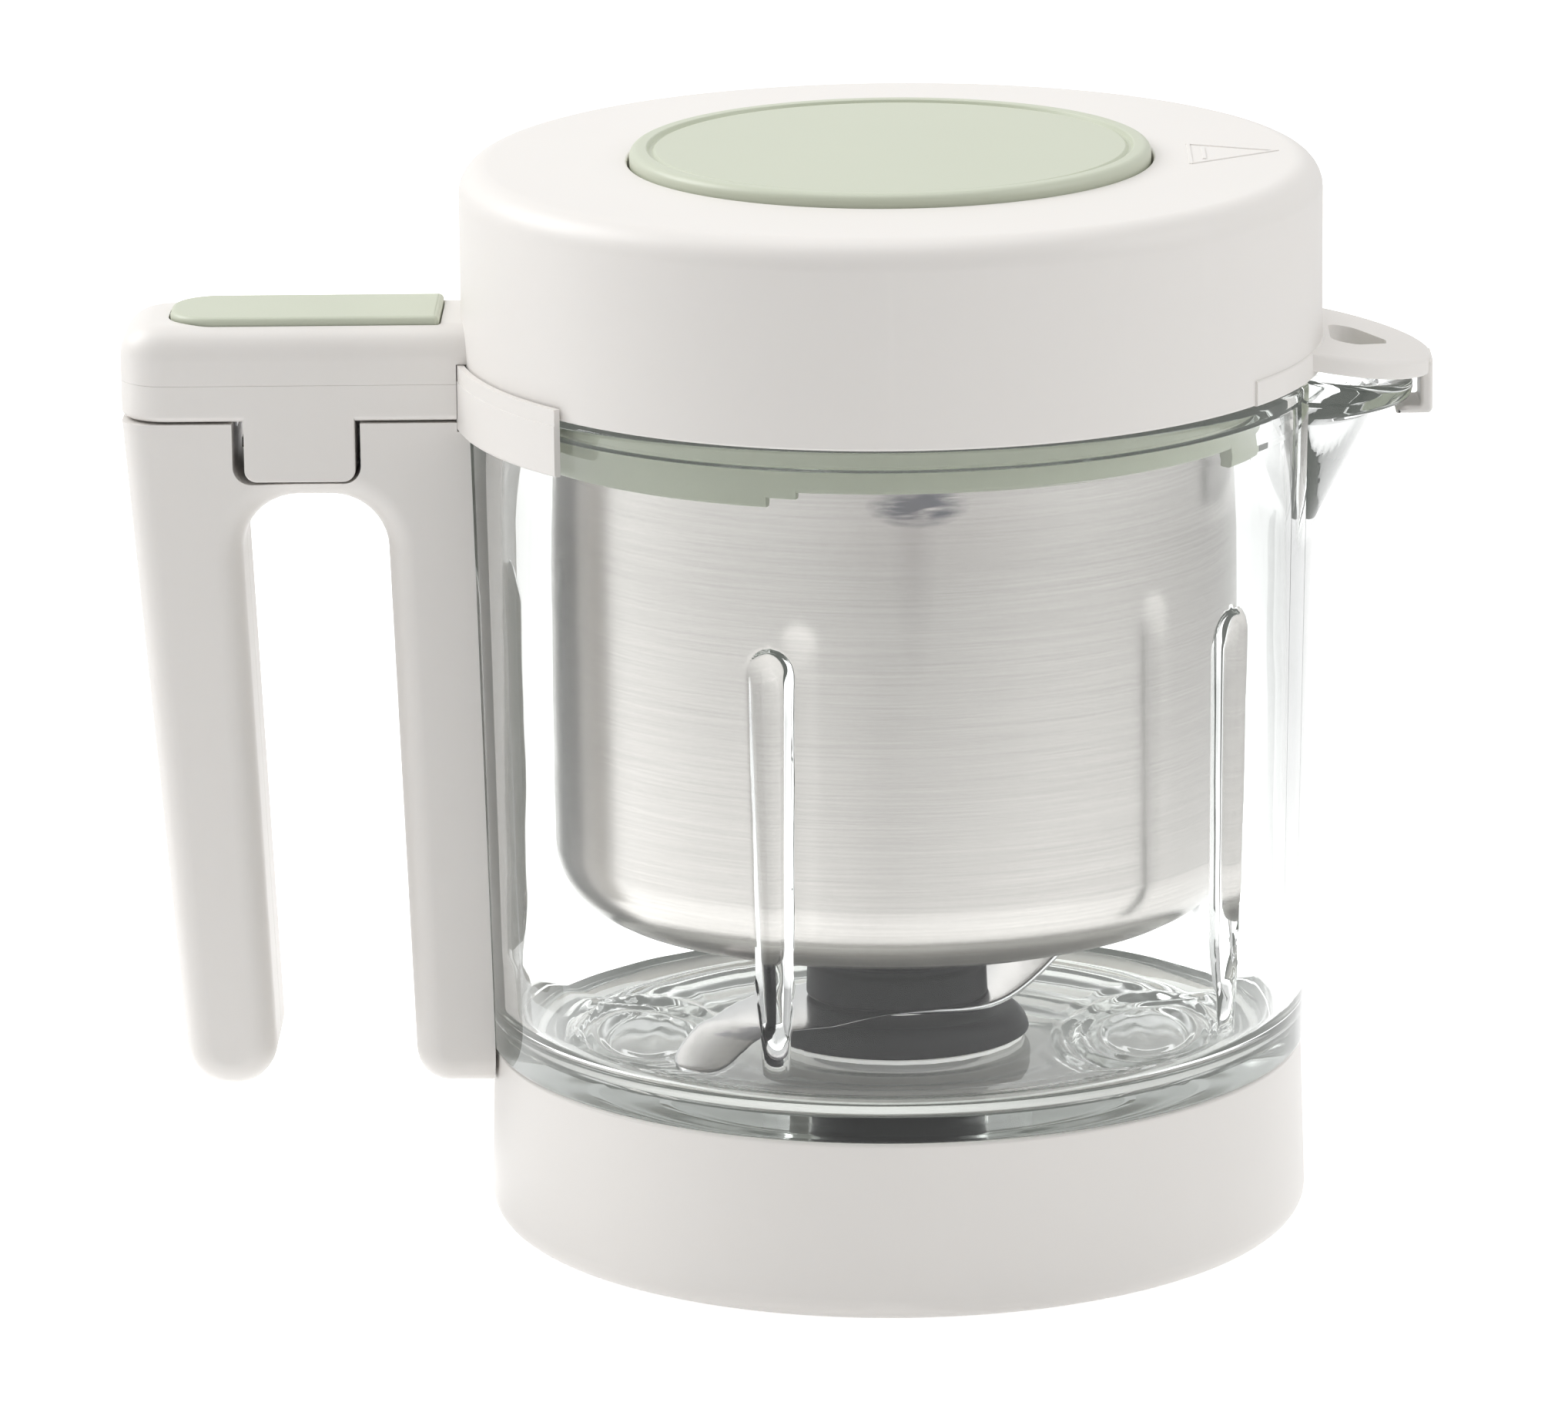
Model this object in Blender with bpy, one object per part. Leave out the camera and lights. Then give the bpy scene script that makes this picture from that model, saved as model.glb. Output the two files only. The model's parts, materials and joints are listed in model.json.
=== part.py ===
"""Glass steaming and blending bowl of a baby food maker, modelled as separate pieces.

The bowl stands on its base ring with the handle on -X and the pouring spout on +X.
All sizes are in millimetres, heights are above the surface the bowl stands on, and every outline
is drawn about the bowl's own axis. MM turns millimetres into Blender's metres.
"""
from math import asin, cos, pi, radians, sin, sqrt, tan

import bmesh
import bpy
from mathutils import Matrix, Vector

MM = 0.001
GAP = 0.3                      # clearance between pieces that touch in the real bowl
RUNNING = 0.2                  # clearance between a shaft and its bushes

# Overall size
HANDLE_END = -143.1            # outermost point of the handle arm
SPOUT_END = 100.3              # outermost point of the spout guard
JUG_AXIS_X = -(HANDLE_END + SPOUT_END) / 2

# Glass bowl
RIM_Z = 163.3
RIM_R = 79.5
FOOT_Z = 34.1                  # the glass shoulder that sits on the base ring
FOOT_R = 77.0
PLUG_R = 73.0                  # glass below the shoulder, inside the base ring
UNDERSIDE_Z = 27.5
FLOOR_Z = 34.0
GLASS_HOLE_R = 16.6
LEDGE_Z = 158.8                # inner step that the basket ring hangs on
SPOUT_WIDTH = radians(15.5)    # half-angle of the spout at the rim
SPOUT_REACH = 17.8
SPOUT_DIP = 3.8
RIB_ANGLES = [radians(a) for a in (36, 108, 180, 252, 324)]
RIB_HALF = radians(3.4)
RIB_DEPTH = 3.0
RIB_LOW, RIB_HIGH = 48.0, 127.0

# Base ring
BASE_TOP_Z, BASE_TOP_R = 33.8, 76.3
BASE_BOTTOM_R = 77.1
BASE_FILLET = 4.1
BASE_WALL_R = 73.5             # inside of the skirt
SHELF_LOW, SHELF_HIGH = 22.4, 24.9
LUG_COUNT = 3

# Drive and blades
SHAFT_R = 4.0
SHAFT_LOW, SHAFT_HIGH = 5.0, 56.0
STEM_R = 16.2
STEM_LOW = 10.5
FLANGE_R = 24.8
SEAT_TOP = 42.3
BUSH_R = 6.7
HUB_R = 16.7
HUB_LOW, HUB_HIGH = 44.7, 58.4
BLADE_Z, BLADE_THICK = 42.9, 1.4
# Low wing outward from the hub: rear edge x, y, front edge x, y, its drop and the other's rise
BLADE_WING = [(-6.8, 14.4, -1.8, -16.4, 0, 0), (-12.0, 12.6, -5.0, -17.5, 0, 0),
              (-19.5, 8.4, -11.2, -21.8, 0, 0.2), (-25.8, 2.4, -17.4, -26.3, 0, 3.4),
              (-31.2, -5.5, -21.8, -27.6, 0.5, 7.2), (-35.4, -15.0, -25.4, -29.8, 1.3, 9.8),
              (-38.6, -26.0, -28.0, -35.0, 2.3, 11.8), (-40.6, -36.0, -30.2, -42.0, 3.2, 13.2),
              (-40.4, -42.0, -33.0, -46.5, 3.6, 13.8), (-39.0, -45.4, -36.4, -47.2, 3.7, 14.0)]
DOG_R = 12.5
DOG_LOW, DOG_HIGH = 3.0, 10.1
DOG_LOBES = 6

# Steam basket
BASKET_TOP_R, BASKET_LOW_R = 64.4, 63.3
BASKET_TOP, BASKET_BOTTOM = 158.4, 61.3
BASKET_CORNER = 15.0
BASKET_SHEET = 1.0
DRAIN_HOLES, DRAIN_RING_R = 8, 26.0
RING_TOP, RING_FLANGE_R = 163.0, 74.8
RING_SKIRT_R, RING_SKIRT_LOW = 72.2, 154.4
RING_TAB_LOW = 151.3
RING_TAB_SPAN = radians(73)
RING_TAB_FRONT = (radians(-34), radians(-26))

# Lid
LID_R = 80.0
LID_LOW, LID_TOP = 163.6, 201.4
LID_FILLET = 5.5
LID_WALL = 2.5
CAP_R, CAP_TOP, CAP_LOW = 48.3, 203.8, 197.0
CAP_HOLE_R = 48.7
CAP_PLUG_R = 41.8
LINER_LOW, LINER_HIGH = 167.0, 169.0
HINGE_X, HINGE_Z = 95.5, 158.0  # the lid tips about its hook under the spout's lip
CAP_SEAL_Z = 191.5
LID_SCREW_ANGLES = [radians(a) for a in (94, 214, 334)]
LID_SCREW_R = 66.0
BAND_HALF = radians(34.6)      # half-angle of the guard's band on the lid
BAND_TOP = 171.6
GUARD_X, GUARD_R = 78.0, SPOUT_END - 78.0
GUARD_HIGH, GUARD_THICK, GUARD_FALL = 167.2, 3.4, 0.158
GUARD_ROOT_R = 79.7            # where the guard's plate grows out of its band
HOOK_THICK = 2.3
HOOK_HALF = 6.0
HOOK_LOW, HOOK_HIGH = 152.7, 154.8
HOOK_FOOT = 6.8
HOOK_NOSE = (1.6, 0.9)         # length and drop of the slope on the foot's tip

# Handle
HANDLE_HALF = 15.2
HANDLE_TOP = 155.1
HANDLE_EDGE = 4.5
NOTCH_LEFT, NOTCH_RIGHT, NOTCH_LOW = -122.2, -98.4, 143.6
SCREW_SPOTS = [(-129.5, 148.0), (-87.5, 148.0), (-125.3, 36.0), (-85.0, 36.0)]
COLLAR_R, COLLAR_WALL = 81.8, 1.4
COLLAR_LOW, COLLAR_HIGH = 153.5, 166.0
COLLAR_HALF = radians(41.7)

# Lid arm over the handle, with its release
ARM_HALF = 15.5
ARM_LOW, ARM_SPLIT, ARM_TOP = 155.5, 161.4, 173.0
ARM_WALL = 2.3
ARM_END_R = 9.0
TAB_LEFT, TAB_RIGHT, TAB_LOW = -120.0, -99.4, 144.1
BUTTON_LEFT, BUTTON_RIGHT, BUTTON_HALF = -133.9, -83.6, 10.75
BUTTON_TOP = 174.3
BUTTON_TRAVEL = 2.5
LATCH_X, LATCH_Z = -113.5, 162.5
SPRING_X, SPRING_R, SPRING_WIRE = -98.0, 3.4, 0.45

ROUND = 40                     # facets on the large turned pieces
GLASS_STEPS = 36
SMALL = 24
TINY = 10


# ---------------------------------------------------------------- materials

def plastic(name, colour, roughness, metallic=0.0, alpha=1.0):
    """Principled material with a plain colour."""
    material = bpy.data.materials.new(name)
    material.use_nodes = True
    shader = material.node_tree.nodes["Principled BSDF"]
    shader.inputs["Base Color"].default_value = (*colour, 1.0)
    shader.inputs["Roughness"].default_value = roughness
    shader.inputs["Metallic"].default_value = metallic
    shader.inputs["Alpha"].default_value = alpha
    return material


def make_materials():
    """One material for each kind of piece."""
    return {
        "glass": plastic("clear_glass", (0.86, 0.92, 0.90), 0.05, alpha=0.35),
        "white": plastic("white_plastic", (0.80, 0.78, 0.75), 0.42),
        "green": plastic("sage_plastic", (0.56, 0.60, 0.48), 0.40),
        "steel": plastic("brushed_steel", (0.62, 0.61, 0.59), 0.30, metallic=1.0),
        "grey": plastic("dark_grey_plastic", (0.06, 0.06, 0.065), 0.45),
        "seal": plastic("silicone", (0.72, 0.72, 0.70), 0.60),
        "bronze": plastic("bronze", (0.55, 0.38, 0.20), 0.40, metallic=1.0),
    }


# ---------------------------------------------------------------- shape tools

def finish_mesh(bm):
    """Merge doubled points and turn every face outward."""
    bmesh.ops.remove_doubles(bm, verts=bm.verts, dist=0.00001)
    bmesh.ops.recalc_face_normals(bm, faces=bm.faces)
    return bm


def turned(profile, steps=ROUND):
    """Full turn of a closed (radius, height) profile about the bowl's axis."""
    bm = bmesh.new()
    points = [bm.verts.new((r * MM, 0, z * MM)) for r, z in profile]
    edges = []
    for i in range(len(points)):
        if profile[i - 1][0] > 0 or profile[i][0] > 0:
            edges.append(bm.edges.new((points[i - 1], points[i])))
    bmesh.ops.spin(bm, geom=points + edges, cent=(0, 0, 0), axis=(0, 0, 1), dvec=(0, 0, 0),
                   angle=2 * pi, steps=steps, use_merge=True)
    return finish_mesh(bm)


def lofted(rings, closed):
    """Skin through equal rings of points, either closed on itself or capped at both ends."""
    bm = bmesh.new()
    loops = [[bm.verts.new(Vector(p) * MM) for p in ring] for ring in rings]
    pairs = list(zip(loops, loops[1:]))
    if closed:
        pairs.append((loops[-1], loops[0]))
    else:
        bm.faces.new(loops[0])
        bm.faces.new(loops[-1])
    for ring, following in pairs:
        for i in range(len(ring)):
            bm.faces.new((ring[i - 1], ring[i], following[i], following[i - 1]))
    return finish_mesh(bm)


def sector(profile, start, end, steps):
    """Part turn of a closed (radius, height) profile between two angles from +X."""
    rings = []
    for i in range(steps + 1):
        a = start + (end - start) * i / steps
        rings.append([(r * cos(a), r * sin(a), z) for r, z in profile])
    return lofted(rings, closed=False)


def extruded(outline, low, high, axis="Z"):
    """Prism of an outline: (x, y) points raised along Z, or (x, z) points drawn along Y."""
    bm = bmesh.new()
    if axis == "Z":
        corners = [(u, v, low) for u, v in outline]
        travel = Vector((0, 0, high - low))
    else:
        corners = [(u, low, v) for u, v in outline]
        travel = Vector((0, high - low, 0))
    face = bm.faces.new([bm.verts.new(Vector(p) * MM) for p in corners])
    grown = bmesh.ops.extrude_face_region(bm, geom=[face])
    moved = [v for v in grown["geom"] if isinstance(v, bmesh.types.BMVert)]
    bmesh.ops.translate(bm, verts=moved, vec=travel * MM)
    return finish_mesh(bm)


def box(x, y, z):
    """Box between the two ends given for each axis."""
    return extruded([(x[0], y[0]), (x[1], y[0]), (x[1], y[1]), (x[0], y[1])], z[0], z[1])


def rounded(corners, steps=5):
    """Outline through (u, v, radius) corners, each rounded by its own radius."""
    outline = []
    for i, (u, v, radius) in enumerate(corners):
        here = Vector((u, v))
        if radius == 0:
            outline.append((u, v))
            continue
        back = (Vector(corners[i - 1][:2]) - here).normalized()
        ahead = (Vector(corners[(i + 1) % len(corners)][:2]) - here).normalized()
        half = back.angle(ahead) / 2
        centre = here + (back + ahead).normalized() * radius / sin(half)
        start = here + back * radius / tan(half) - centre
        left_turn = ahead.x * back.y - ahead.y * back.x > 0
        sweep = (pi - 2 * half) * (1 if left_turn else -1)
        for k in range(steps + 1):
            a = sweep * k / steps
            outline.append((centre.x + start.x * cos(a) - start.y * sin(a),
                            centre.y + start.x * sin(a) + start.y * cos(a)))
    return outline


def arc(centre_r, centre_z, radius, start, end, steps):
    """Points of a profile arc, angles in degrees from the outward direction."""
    angles = [radians(start + (end - start) * i / steps) for i in range(steps + 1)]
    return [(centre_r + radius * cos(a), centre_z + radius * sin(a)) for a in angles]


def bevel_edges(bm, wanted, width, steps=3):
    """Round the edges whose two end points both satisfy the wanted test."""
    edges = [e for e in bm.edges if all(wanted(v.co / MM) for v in e.verts)]
    bmesh.ops.bevel(bm, geom=edges, offset=width * MM, offset_type="OFFSET", segments=steps,
                    profile=0.5, affect="EDGES", clamp_overlap=True)
    return finish_mesh(bm)


# ---------------------------------------------------------------- objects

def holder(name, x, y, z, parent=None):
    """Empty that a body's pieces hang from, at a place given about the bowl's axis."""
    empty = bpy.data.objects.new(name, None)
    empty.empty_display_size = 0.02
    bpy.context.scene.collection.objects.link(empty)
    place = Vector((x, y, z)) * MM
    empty["place"] = list(place)
    if parent is None:
        empty.location = place + Vector((JUG_AXIS_X * MM, 0, 0))
    else:
        empty.parent = parent
        empty.location = place - Vector(parent["place"])
    return empty


def new_object(name, bm, parent):
    """Object whose mesh is measured from its parent's place."""
    mesh = bpy.data.meshes.new(name)
    bmesh.ops.translate(bm, verts=bm.verts, vec=-Vector(parent["place"]))
    bm.to_mesh(mesh)
    bm.free()
    obj = bpy.data.objects.new(name, mesh)
    obj.parent = parent
    bpy.context.scene.collection.objects.link(obj)
    return obj


def piece(name, bm, material, parent):
    """A sub-part of the bowl."""
    obj = new_object(name, bm, parent)
    obj.data.materials.append(material)
    obj.data.shade_smooth()
    obj.data.set_sharp_from_angle(angle=radians(35))
    return obj


def boolean(target, bm, operation):
    """Change a piece by a hidden shape that hangs from the same place."""
    shape = new_object(f"{operation.lower()}_{target.name}_{len(target.modifiers)}", bm,
                       target.parent)
    shape.hide_render = True
    shape.display_type = "WIRE"
    modifier = target.modifiers.new(operation.lower(), "BOOLEAN")
    modifier.operation = operation
    modifier.solver = "EXACT"
    modifier.object = shape


def cut(target, bm):
    boolean(target, bm, "DIFFERENCE")


def join(target, bm):
    boolean(target, bm, "UNION")


def rod(x, y, radius, low, high, steps=TINY):
    """Upright round bar."""
    outline = [(x + radius * cos(2 * pi * i / steps), y + radius * sin(2 * pi * i / steps))
               for i in range(steps)]
    return extruded(outline, low, high)


def cross_rod(x, z, radius, low, high, steps=TINY):
    """Round bar along Y."""
    outline = [(x + radius * cos(2 * pi * i / steps), z + radius * sin(2 * pi * i / steps))
               for i in range(steps)]
    return extruded(outline, low, high, axis="Y")


# ---------------------------------------------------------------- glass bowl

def angle_from(angle, centre):
    """Signed distance between two angles, within half a turn."""
    return (angle - centre + pi) % (2 * pi) - pi


def spout_share(angle):
    """How far the wall is drawn out into the spout, from 0 to 1 at the spout's middle."""
    away = abs(angle_from(angle, 0)) / SPOUT_WIDTH
    return 0.0 if away >= 1 else (1 - away ** 2) ** 0.75


def rib_share(angle):
    """How far the inner wall stands in as a rib, from 0 to 1 at a rib's middle."""
    away = min(abs(angle_from(angle, rib)) for rib in RIB_ANGLES) / RIB_HALF
    return 0.0 if away >= 1 else sqrt(1 - away ** 2)


def glass_section(angle):
    """Closed (radius, height) section of the glass at one angle from +X."""
    spout = spout_share(angle)
    rib = RIB_DEPTH * rib_share(angle)
    reach = SPOUT_REACH * spout
    dip = SPOUT_DIP * spout
    return [
        (GLASS_HOLE_R, UNDERSIDE_Z),
        (PLUG_R - 2.5, UNDERSIDE_Z),
        (PLUG_R, UNDERSIDE_Z + 2),
        (PLUG_R, FOOT_Z - GAP),
        (FOOT_R - 0.4, FOOT_Z),
        (FOOT_R, FOOT_Z + 0.9),
        (79.0, 137.0),
        (79.3 + 0.64 * reach, 154.9),
        (79.4 + 0.94 * reach, 155.6 + 0.3 * spout),
        (RIM_R + reach, 161.8 - dip),
        (RIM_R - 0.6 + reach, RIM_Z - dip),
        (76.1 + 0.83 * reach, RIM_Z - 1.1 * dip),
        (75.3 + 0.76 * reach, RIM_Z - 0.7 - 1.1 * dip),
        (75.2 + 0.58 * reach, LEDGE_Z + 0.2 - 2.1 * spout),
        (73.9 + 0.56 * reach, LEDGE_Z - 0.2 - 3.2 * spout),
        (73.6 + 0.22 * reach, 147.0),
        (73.2, 136.0),
        (72.9, RIB_HIGH),
        (72.8 - rib, RIB_HIGH - 5),
        (72.2 - rib, RIB_LOW + 4),
        (71.5, RIB_LOW - 2),
        (68.0, 40.4),
        (58.0, 37.0),
        (30.0, FLOOR_Z + 0.6),
        (GLASS_HOLE_R, FLOOR_Z),
    ]


def glass_angles():
    """Angles of the glass sections, closer together over the ribs and the spout."""
    angles = {round(2 * pi * i / GLASS_STEPS, 5) for i in range(GLASS_STEPS)}
    for rib in RIB_ANGLES:
        angles = {a for a in angles if abs(angle_from(a, rib)) > 1.1 * RIB_HALF}
        angles |= {round(rib + share * RIB_HALF, 5) for share in (-1.0, -0.6, 0.6, 1.0)}
    angles = {a for a in angles if abs(angle_from(a, 0)) > 1.1 * SPOUT_WIDTH}
    spout = [SPOUT_WIDTH * share for share in (-1, -0.93, -0.72, -0.4, 0, 0.4, 0.72, 0.93, 1)]
    angles |= {round(a % (2 * pi), 5) for a in spout}
    return sorted(angles)


def make_bowl(paint, jug):
    rings = []
    for a in glass_angles():
        rings.append([(r * cos(a), r * sin(a), z) for r, z in glass_section(a)])
    piece("glass_bowl", lofted(rings, closed=True), paint["glass"], jug)


# ---------------------------------------------------------------- base

def make_base(paint, jug):
    bottom = arc(BASE_BOTTOM_R - BASE_FILLET, BASE_FILLET, BASE_FILLET, 0, -90, 3)
    base = piece("base_ring", turned([
        (BASE_TOP_R, BASE_TOP_Z), *bottom, (70.5, 0), (70.5, 2.0), (BASE_WALL_R, 5.0),
        (BASE_WALL_R, SHELF_LOW), (17.0, SHELF_LOW), (17.0, SHELF_HIGH),
        (BASE_WALL_R, SHELF_HIGH), (BASE_WALL_R, BASE_TOP_Z)]), paint["white"], jug)
    for i in range(LUG_COUNT):
        middle = 2 * pi * i / LUG_COUNT + pi / 6
        lug = [(70.9, 8.0), (74.5, 8.0), (74.5, 12.0), (70.9, 11.0)]
        join(base, sector(lug, middle - radians(9), middle + radians(9), 3))
    piece("base_gasket", turned([(62, 25.2), (72.4, 25.2), (72.4, 27.2), (62, 27.2)], ROUND),
          paint["seal"], jug)


# ---------------------------------------------------------------- drive and blades

def make_blade_seat(paint, jug):
    piece("blade_seat", turned([
        (BUSH_R + GAP, STEM_LOW), (STEM_R, STEM_LOW), (STEM_R, 35.8), (FLANGE_R - 0.6, 35.8),
        (FLANGE_R, 36.4), (FLANGE_R, 38.4), (24.2, 40.0), (22.9, 41.3), (21.0, 42.1),
        (19.0, SEAT_TOP), (9.3, SEAT_TOP), (9.3, 38.8), (BUSH_R + GAP, 38.8)], 28),
        paint["grey"], jug)
    piece("seat_gasket", turned([(17.2, 34.7), (24.0, 34.8), (24.0, 35.5), (17.2, 35.5)], SMALL),
          paint["seal"], jug)
    inner = SHAFT_R + RUNNING
    for name, low, high in (("upper_bush", 28.0, 38.4), ("lower_bush", 11.0, 20.0)):
        ring = [(inner, low), (BUSH_R, low), (BUSH_R, high), (inner, high)]
        piece(name, turned(ring, SMALL), paint["bronze"], jug)
    piece("shaft_seal", turned([(inner, 39.2), (9.0, 39.2), (9.0, 41.9), (5.2, 41.9)], SMALL),
          paint["seal"], jug)


def blade_plate():
    """Two-winged steel plate: the low wing as planned, and its half turn bent up."""
    rings = []
    for x1, y1, x2, y2, drop, rise in reversed(BLADE_WING):
        low, high = BLADE_Z - drop, BLADE_Z - drop + BLADE_THICK
        rings.append([(x2, y2, low), (x1, y1, low), (x1, y1, high), (x2, y2, high)])
    for x1, y1, x2, y2, drop, rise in BLADE_WING:
        low, high = BLADE_Z + rise, BLADE_Z + rise + BLADE_THICK
        rings.append([(-x1, -y1, low), (-x2, -y2, low), (-x2, -y2, high), (-x1, -y1, high)])
    return lofted(rings, closed=False)


def make_blades(paint, jug, spin):
    hub = arc(HUB_R - 3.5, HUB_HIGH - 3.5, 3.5, 0, 90, 3)
    piece("blade_hub", turned([
        (0, HUB_HIGH), (0, SHAFT_HIGH + GAP), (SHAFT_R + RUNNING, SHAFT_HIGH + GAP),
        (SHAFT_R + RUNNING, HUB_LOW), (HUB_R, HUB_LOW), (HUB_R, 49.6), (HUB_R - 1.4, 50.4),
        (HUB_R - 1.4, 51.6), (HUB_R, 52.4), *hub], 28), paint["grey"], spin)
    blade = piece("blade_plate", blade_plate(), paint["steel"], spin)
    cut(blade, rod(0, 0, SHAFT_R + GAP, BLADE_Z - 2, BLADE_Z + 4, SMALL))
    piece("drive_shaft", rod(0, 0, SHAFT_R, SHAFT_LOW, SHAFT_HIGH, SMALL), paint["steel"], spin)
    outline = []
    for i in range(DOG_LOBES * 4):
        r = DOG_R if i % 4 < 2 else DOG_R - 2.6
        a = 2 * pi * i / (DOG_LOBES * 4)
        outline.append((r * cos(a), r * sin(a)))
    dog = piece("drive_dog", extruded(outline, DOG_LOW, DOG_HIGH), paint["grey"], spin)
    cut(dog, rod(0, 0, SHAFT_R + GAP, SHAFT_LOW - GAP, DOG_HIGH + 1, SMALL))
    piece("shaft_clip", sector([(SHAFT_R + RUNNING, 42.35), (8.2, 42.35), (8.2, 42.75),
                                (SHAFT_R + RUNNING, 42.75)], radians(25), radians(335), 24),
          paint["steel"], spin)


def make_lock_nut(paint, nut):
    ring = piece("lock_nut", turned([
        (STEM_R + GAP, 11.5), (22.0, 11.5), (23.5, 13.0), (23.5, 19.0), (29.0, 19.0),
        (30.0, 20.0), (30.0, 22.1), (STEM_R + GAP, 22.1)], 28), paint["white"], nut)
    for i in range(4):
        wing = box((22.5, 30.5), (-1.6, 1.6), (12.5, 20.0))
        bmesh.ops.rotate(wing, verts=wing.verts, cent=(0, 0, 0),
                         matrix=Matrix.Rotation(i * pi / 2 + pi / 4, 3, "Z"))
        join(ring, wing)


# ---------------------------------------------------------------- steam basket

def make_basket(paint, jug):
    corner_z = BASKET_BOTTOM + BASKET_CORNER
    outer = arc(BASKET_LOW_R - BASKET_CORNER, corner_z, BASKET_CORNER, 0, -90, 4)
    inner = arc(BASKET_LOW_R - BASKET_CORNER, corner_z, BASKET_CORNER - BASKET_SHEET, -90, 0, 4)
    basket = piece("steam_basket", turned([
        (67.2, BASKET_TOP), (67.2, BASKET_TOP - BASKET_SHEET),
        (BASKET_TOP_R, BASKET_TOP - BASKET_SHEET), *outer, (0, BASKET_BOTTOM),
        (0, BASKET_BOTTOM + BASKET_SHEET), *inner, (BASKET_TOP_R - BASKET_SHEET, BASKET_TOP)]),
        paint["steel"], jug)
    for i in range(DRAIN_HOLES):
        a = 2 * pi * i / DRAIN_HOLES + radians(4)
        hole = rod(DRAIN_RING_R * cos(a), DRAIN_RING_R * sin(a), 2.4, BASKET_BOTTOM - 1,
                   BASKET_BOTTOM + 2, 8)
        cut(basket, hole)

    ring = piece("basket_ring", turned([
        (62.5, RING_TOP - 1.2), (64.0, RING_TOP - 0.4), (RING_FLANGE_R - 0.6, RING_TOP),
        (RING_FLANGE_R, RING_TOP - 0.6), (RING_FLANGE_R, 159.4), (RING_SKIRT_R, 159.4),
        (RING_SKIRT_R - 0.3, RING_SKIRT_LOW), (69.8, RING_SKIRT_LOW), (69.6, 158.9),
        (62.5, 158.9)]), paint["green"], jug)
    tab = [(69.9, RING_TAB_LOW), (71.9, RING_TAB_LOW), (72.0, 156.0), (69.8, 156.0)]
    join(ring, sector(tab, pi - RING_TAB_SPAN, pi + RING_TAB_SPAN, 20))
    join(ring, sector(tab, *RING_TAB_FRONT, 3))


# ---------------------------------------------------------------- lid and cap

def make_lid(paint, lid):
    fillet = arc(LID_R - LID_FILLET, LID_TOP - LID_FILLET, LID_FILLET, 0, 90, 4)
    inner = arc(LID_R - LID_FILLET, LID_TOP - LID_FILLET, LID_FILLET - LID_WALL, 90, 0, 2)
    shell = piece("lid_shell", turned([
        (LID_R, LID_LOW), *fillet, (CAP_HOLE_R + 0.7, LID_TOP), (CAP_HOLE_R, LID_TOP - 0.7),
        (CAP_HOLE_R, CAP_LOW), (CAP_HOLE_R + 2.3, CAP_LOW), (CAP_HOLE_R + 2.3, LID_TOP - LID_WALL),
        *inner, (LID_R - LID_WALL, LID_LOW)]), paint["white"], lid)
    bed = [(78.6, 160), (82, 160), (82, BAND_TOP + GAP), (78.6, BAND_TOP + GAP)]
    cut(shell, sector(bed, -BAND_HALF - 0.004, BAND_HALF + 0.004, 14))
    for a in LID_SCREW_ANGLES:
        x, y = LID_SCREW_R * cos(a), LID_SCREW_R * sin(a)
        join(shell, rod(x, y, 4.0, LINER_HIGH + GAP, LID_TOP - 1))
        cut(shell, rod(x, y, 1.6, LINER_HIGH - 1, LINER_HIGH + 14))

    liner = piece("lid_liner", turned([
        (77.1, LINER_LOW), (77.1, LINER_HIGH), (44.9, LINER_HIGH), (44.9, 194.6), (50.3, 194.6),
        (50.3, CAP_LOW - GAP), (42.6, CAP_LOW - GAP), (42.6, LINER_LOW), (58.0, LINER_LOW),
        (58.0, 158.4), (60.0, 158.4), (60.0, LINER_LOW)]), paint["white"], lid)
    for i, a in enumerate(LID_SCREW_ANGLES):
        x, y = LID_SCREW_R * cos(a), LID_SCREW_R * sin(a)
        cut(liner, rod(x, y, 1.9, LINER_LOW - 1, LINER_HIGH + 1))
        screw = turned([(0, 164.9), (3.2, 164.9), (3.4, 165.3), (3.4, LINER_LOW - GAP),
                        (1.3, LINER_LOW - GAP), (1.3, 180.0), (0, 181.0)], TINY)
        bmesh.ops.translate(screw, verts=screw.verts, vec=Vector((x, y, 0)) * MM)
        piece(f"lid_screw_{i + 1}", screw, paint["steel"], lid)
    piece("lid_seal", turned([(73.0, 164.4), (75.2, 163.7), (77.1, 163.9), (77.1, 166.7),
                              (73.0, 166.7)]), paint["seal"], lid)


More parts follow.
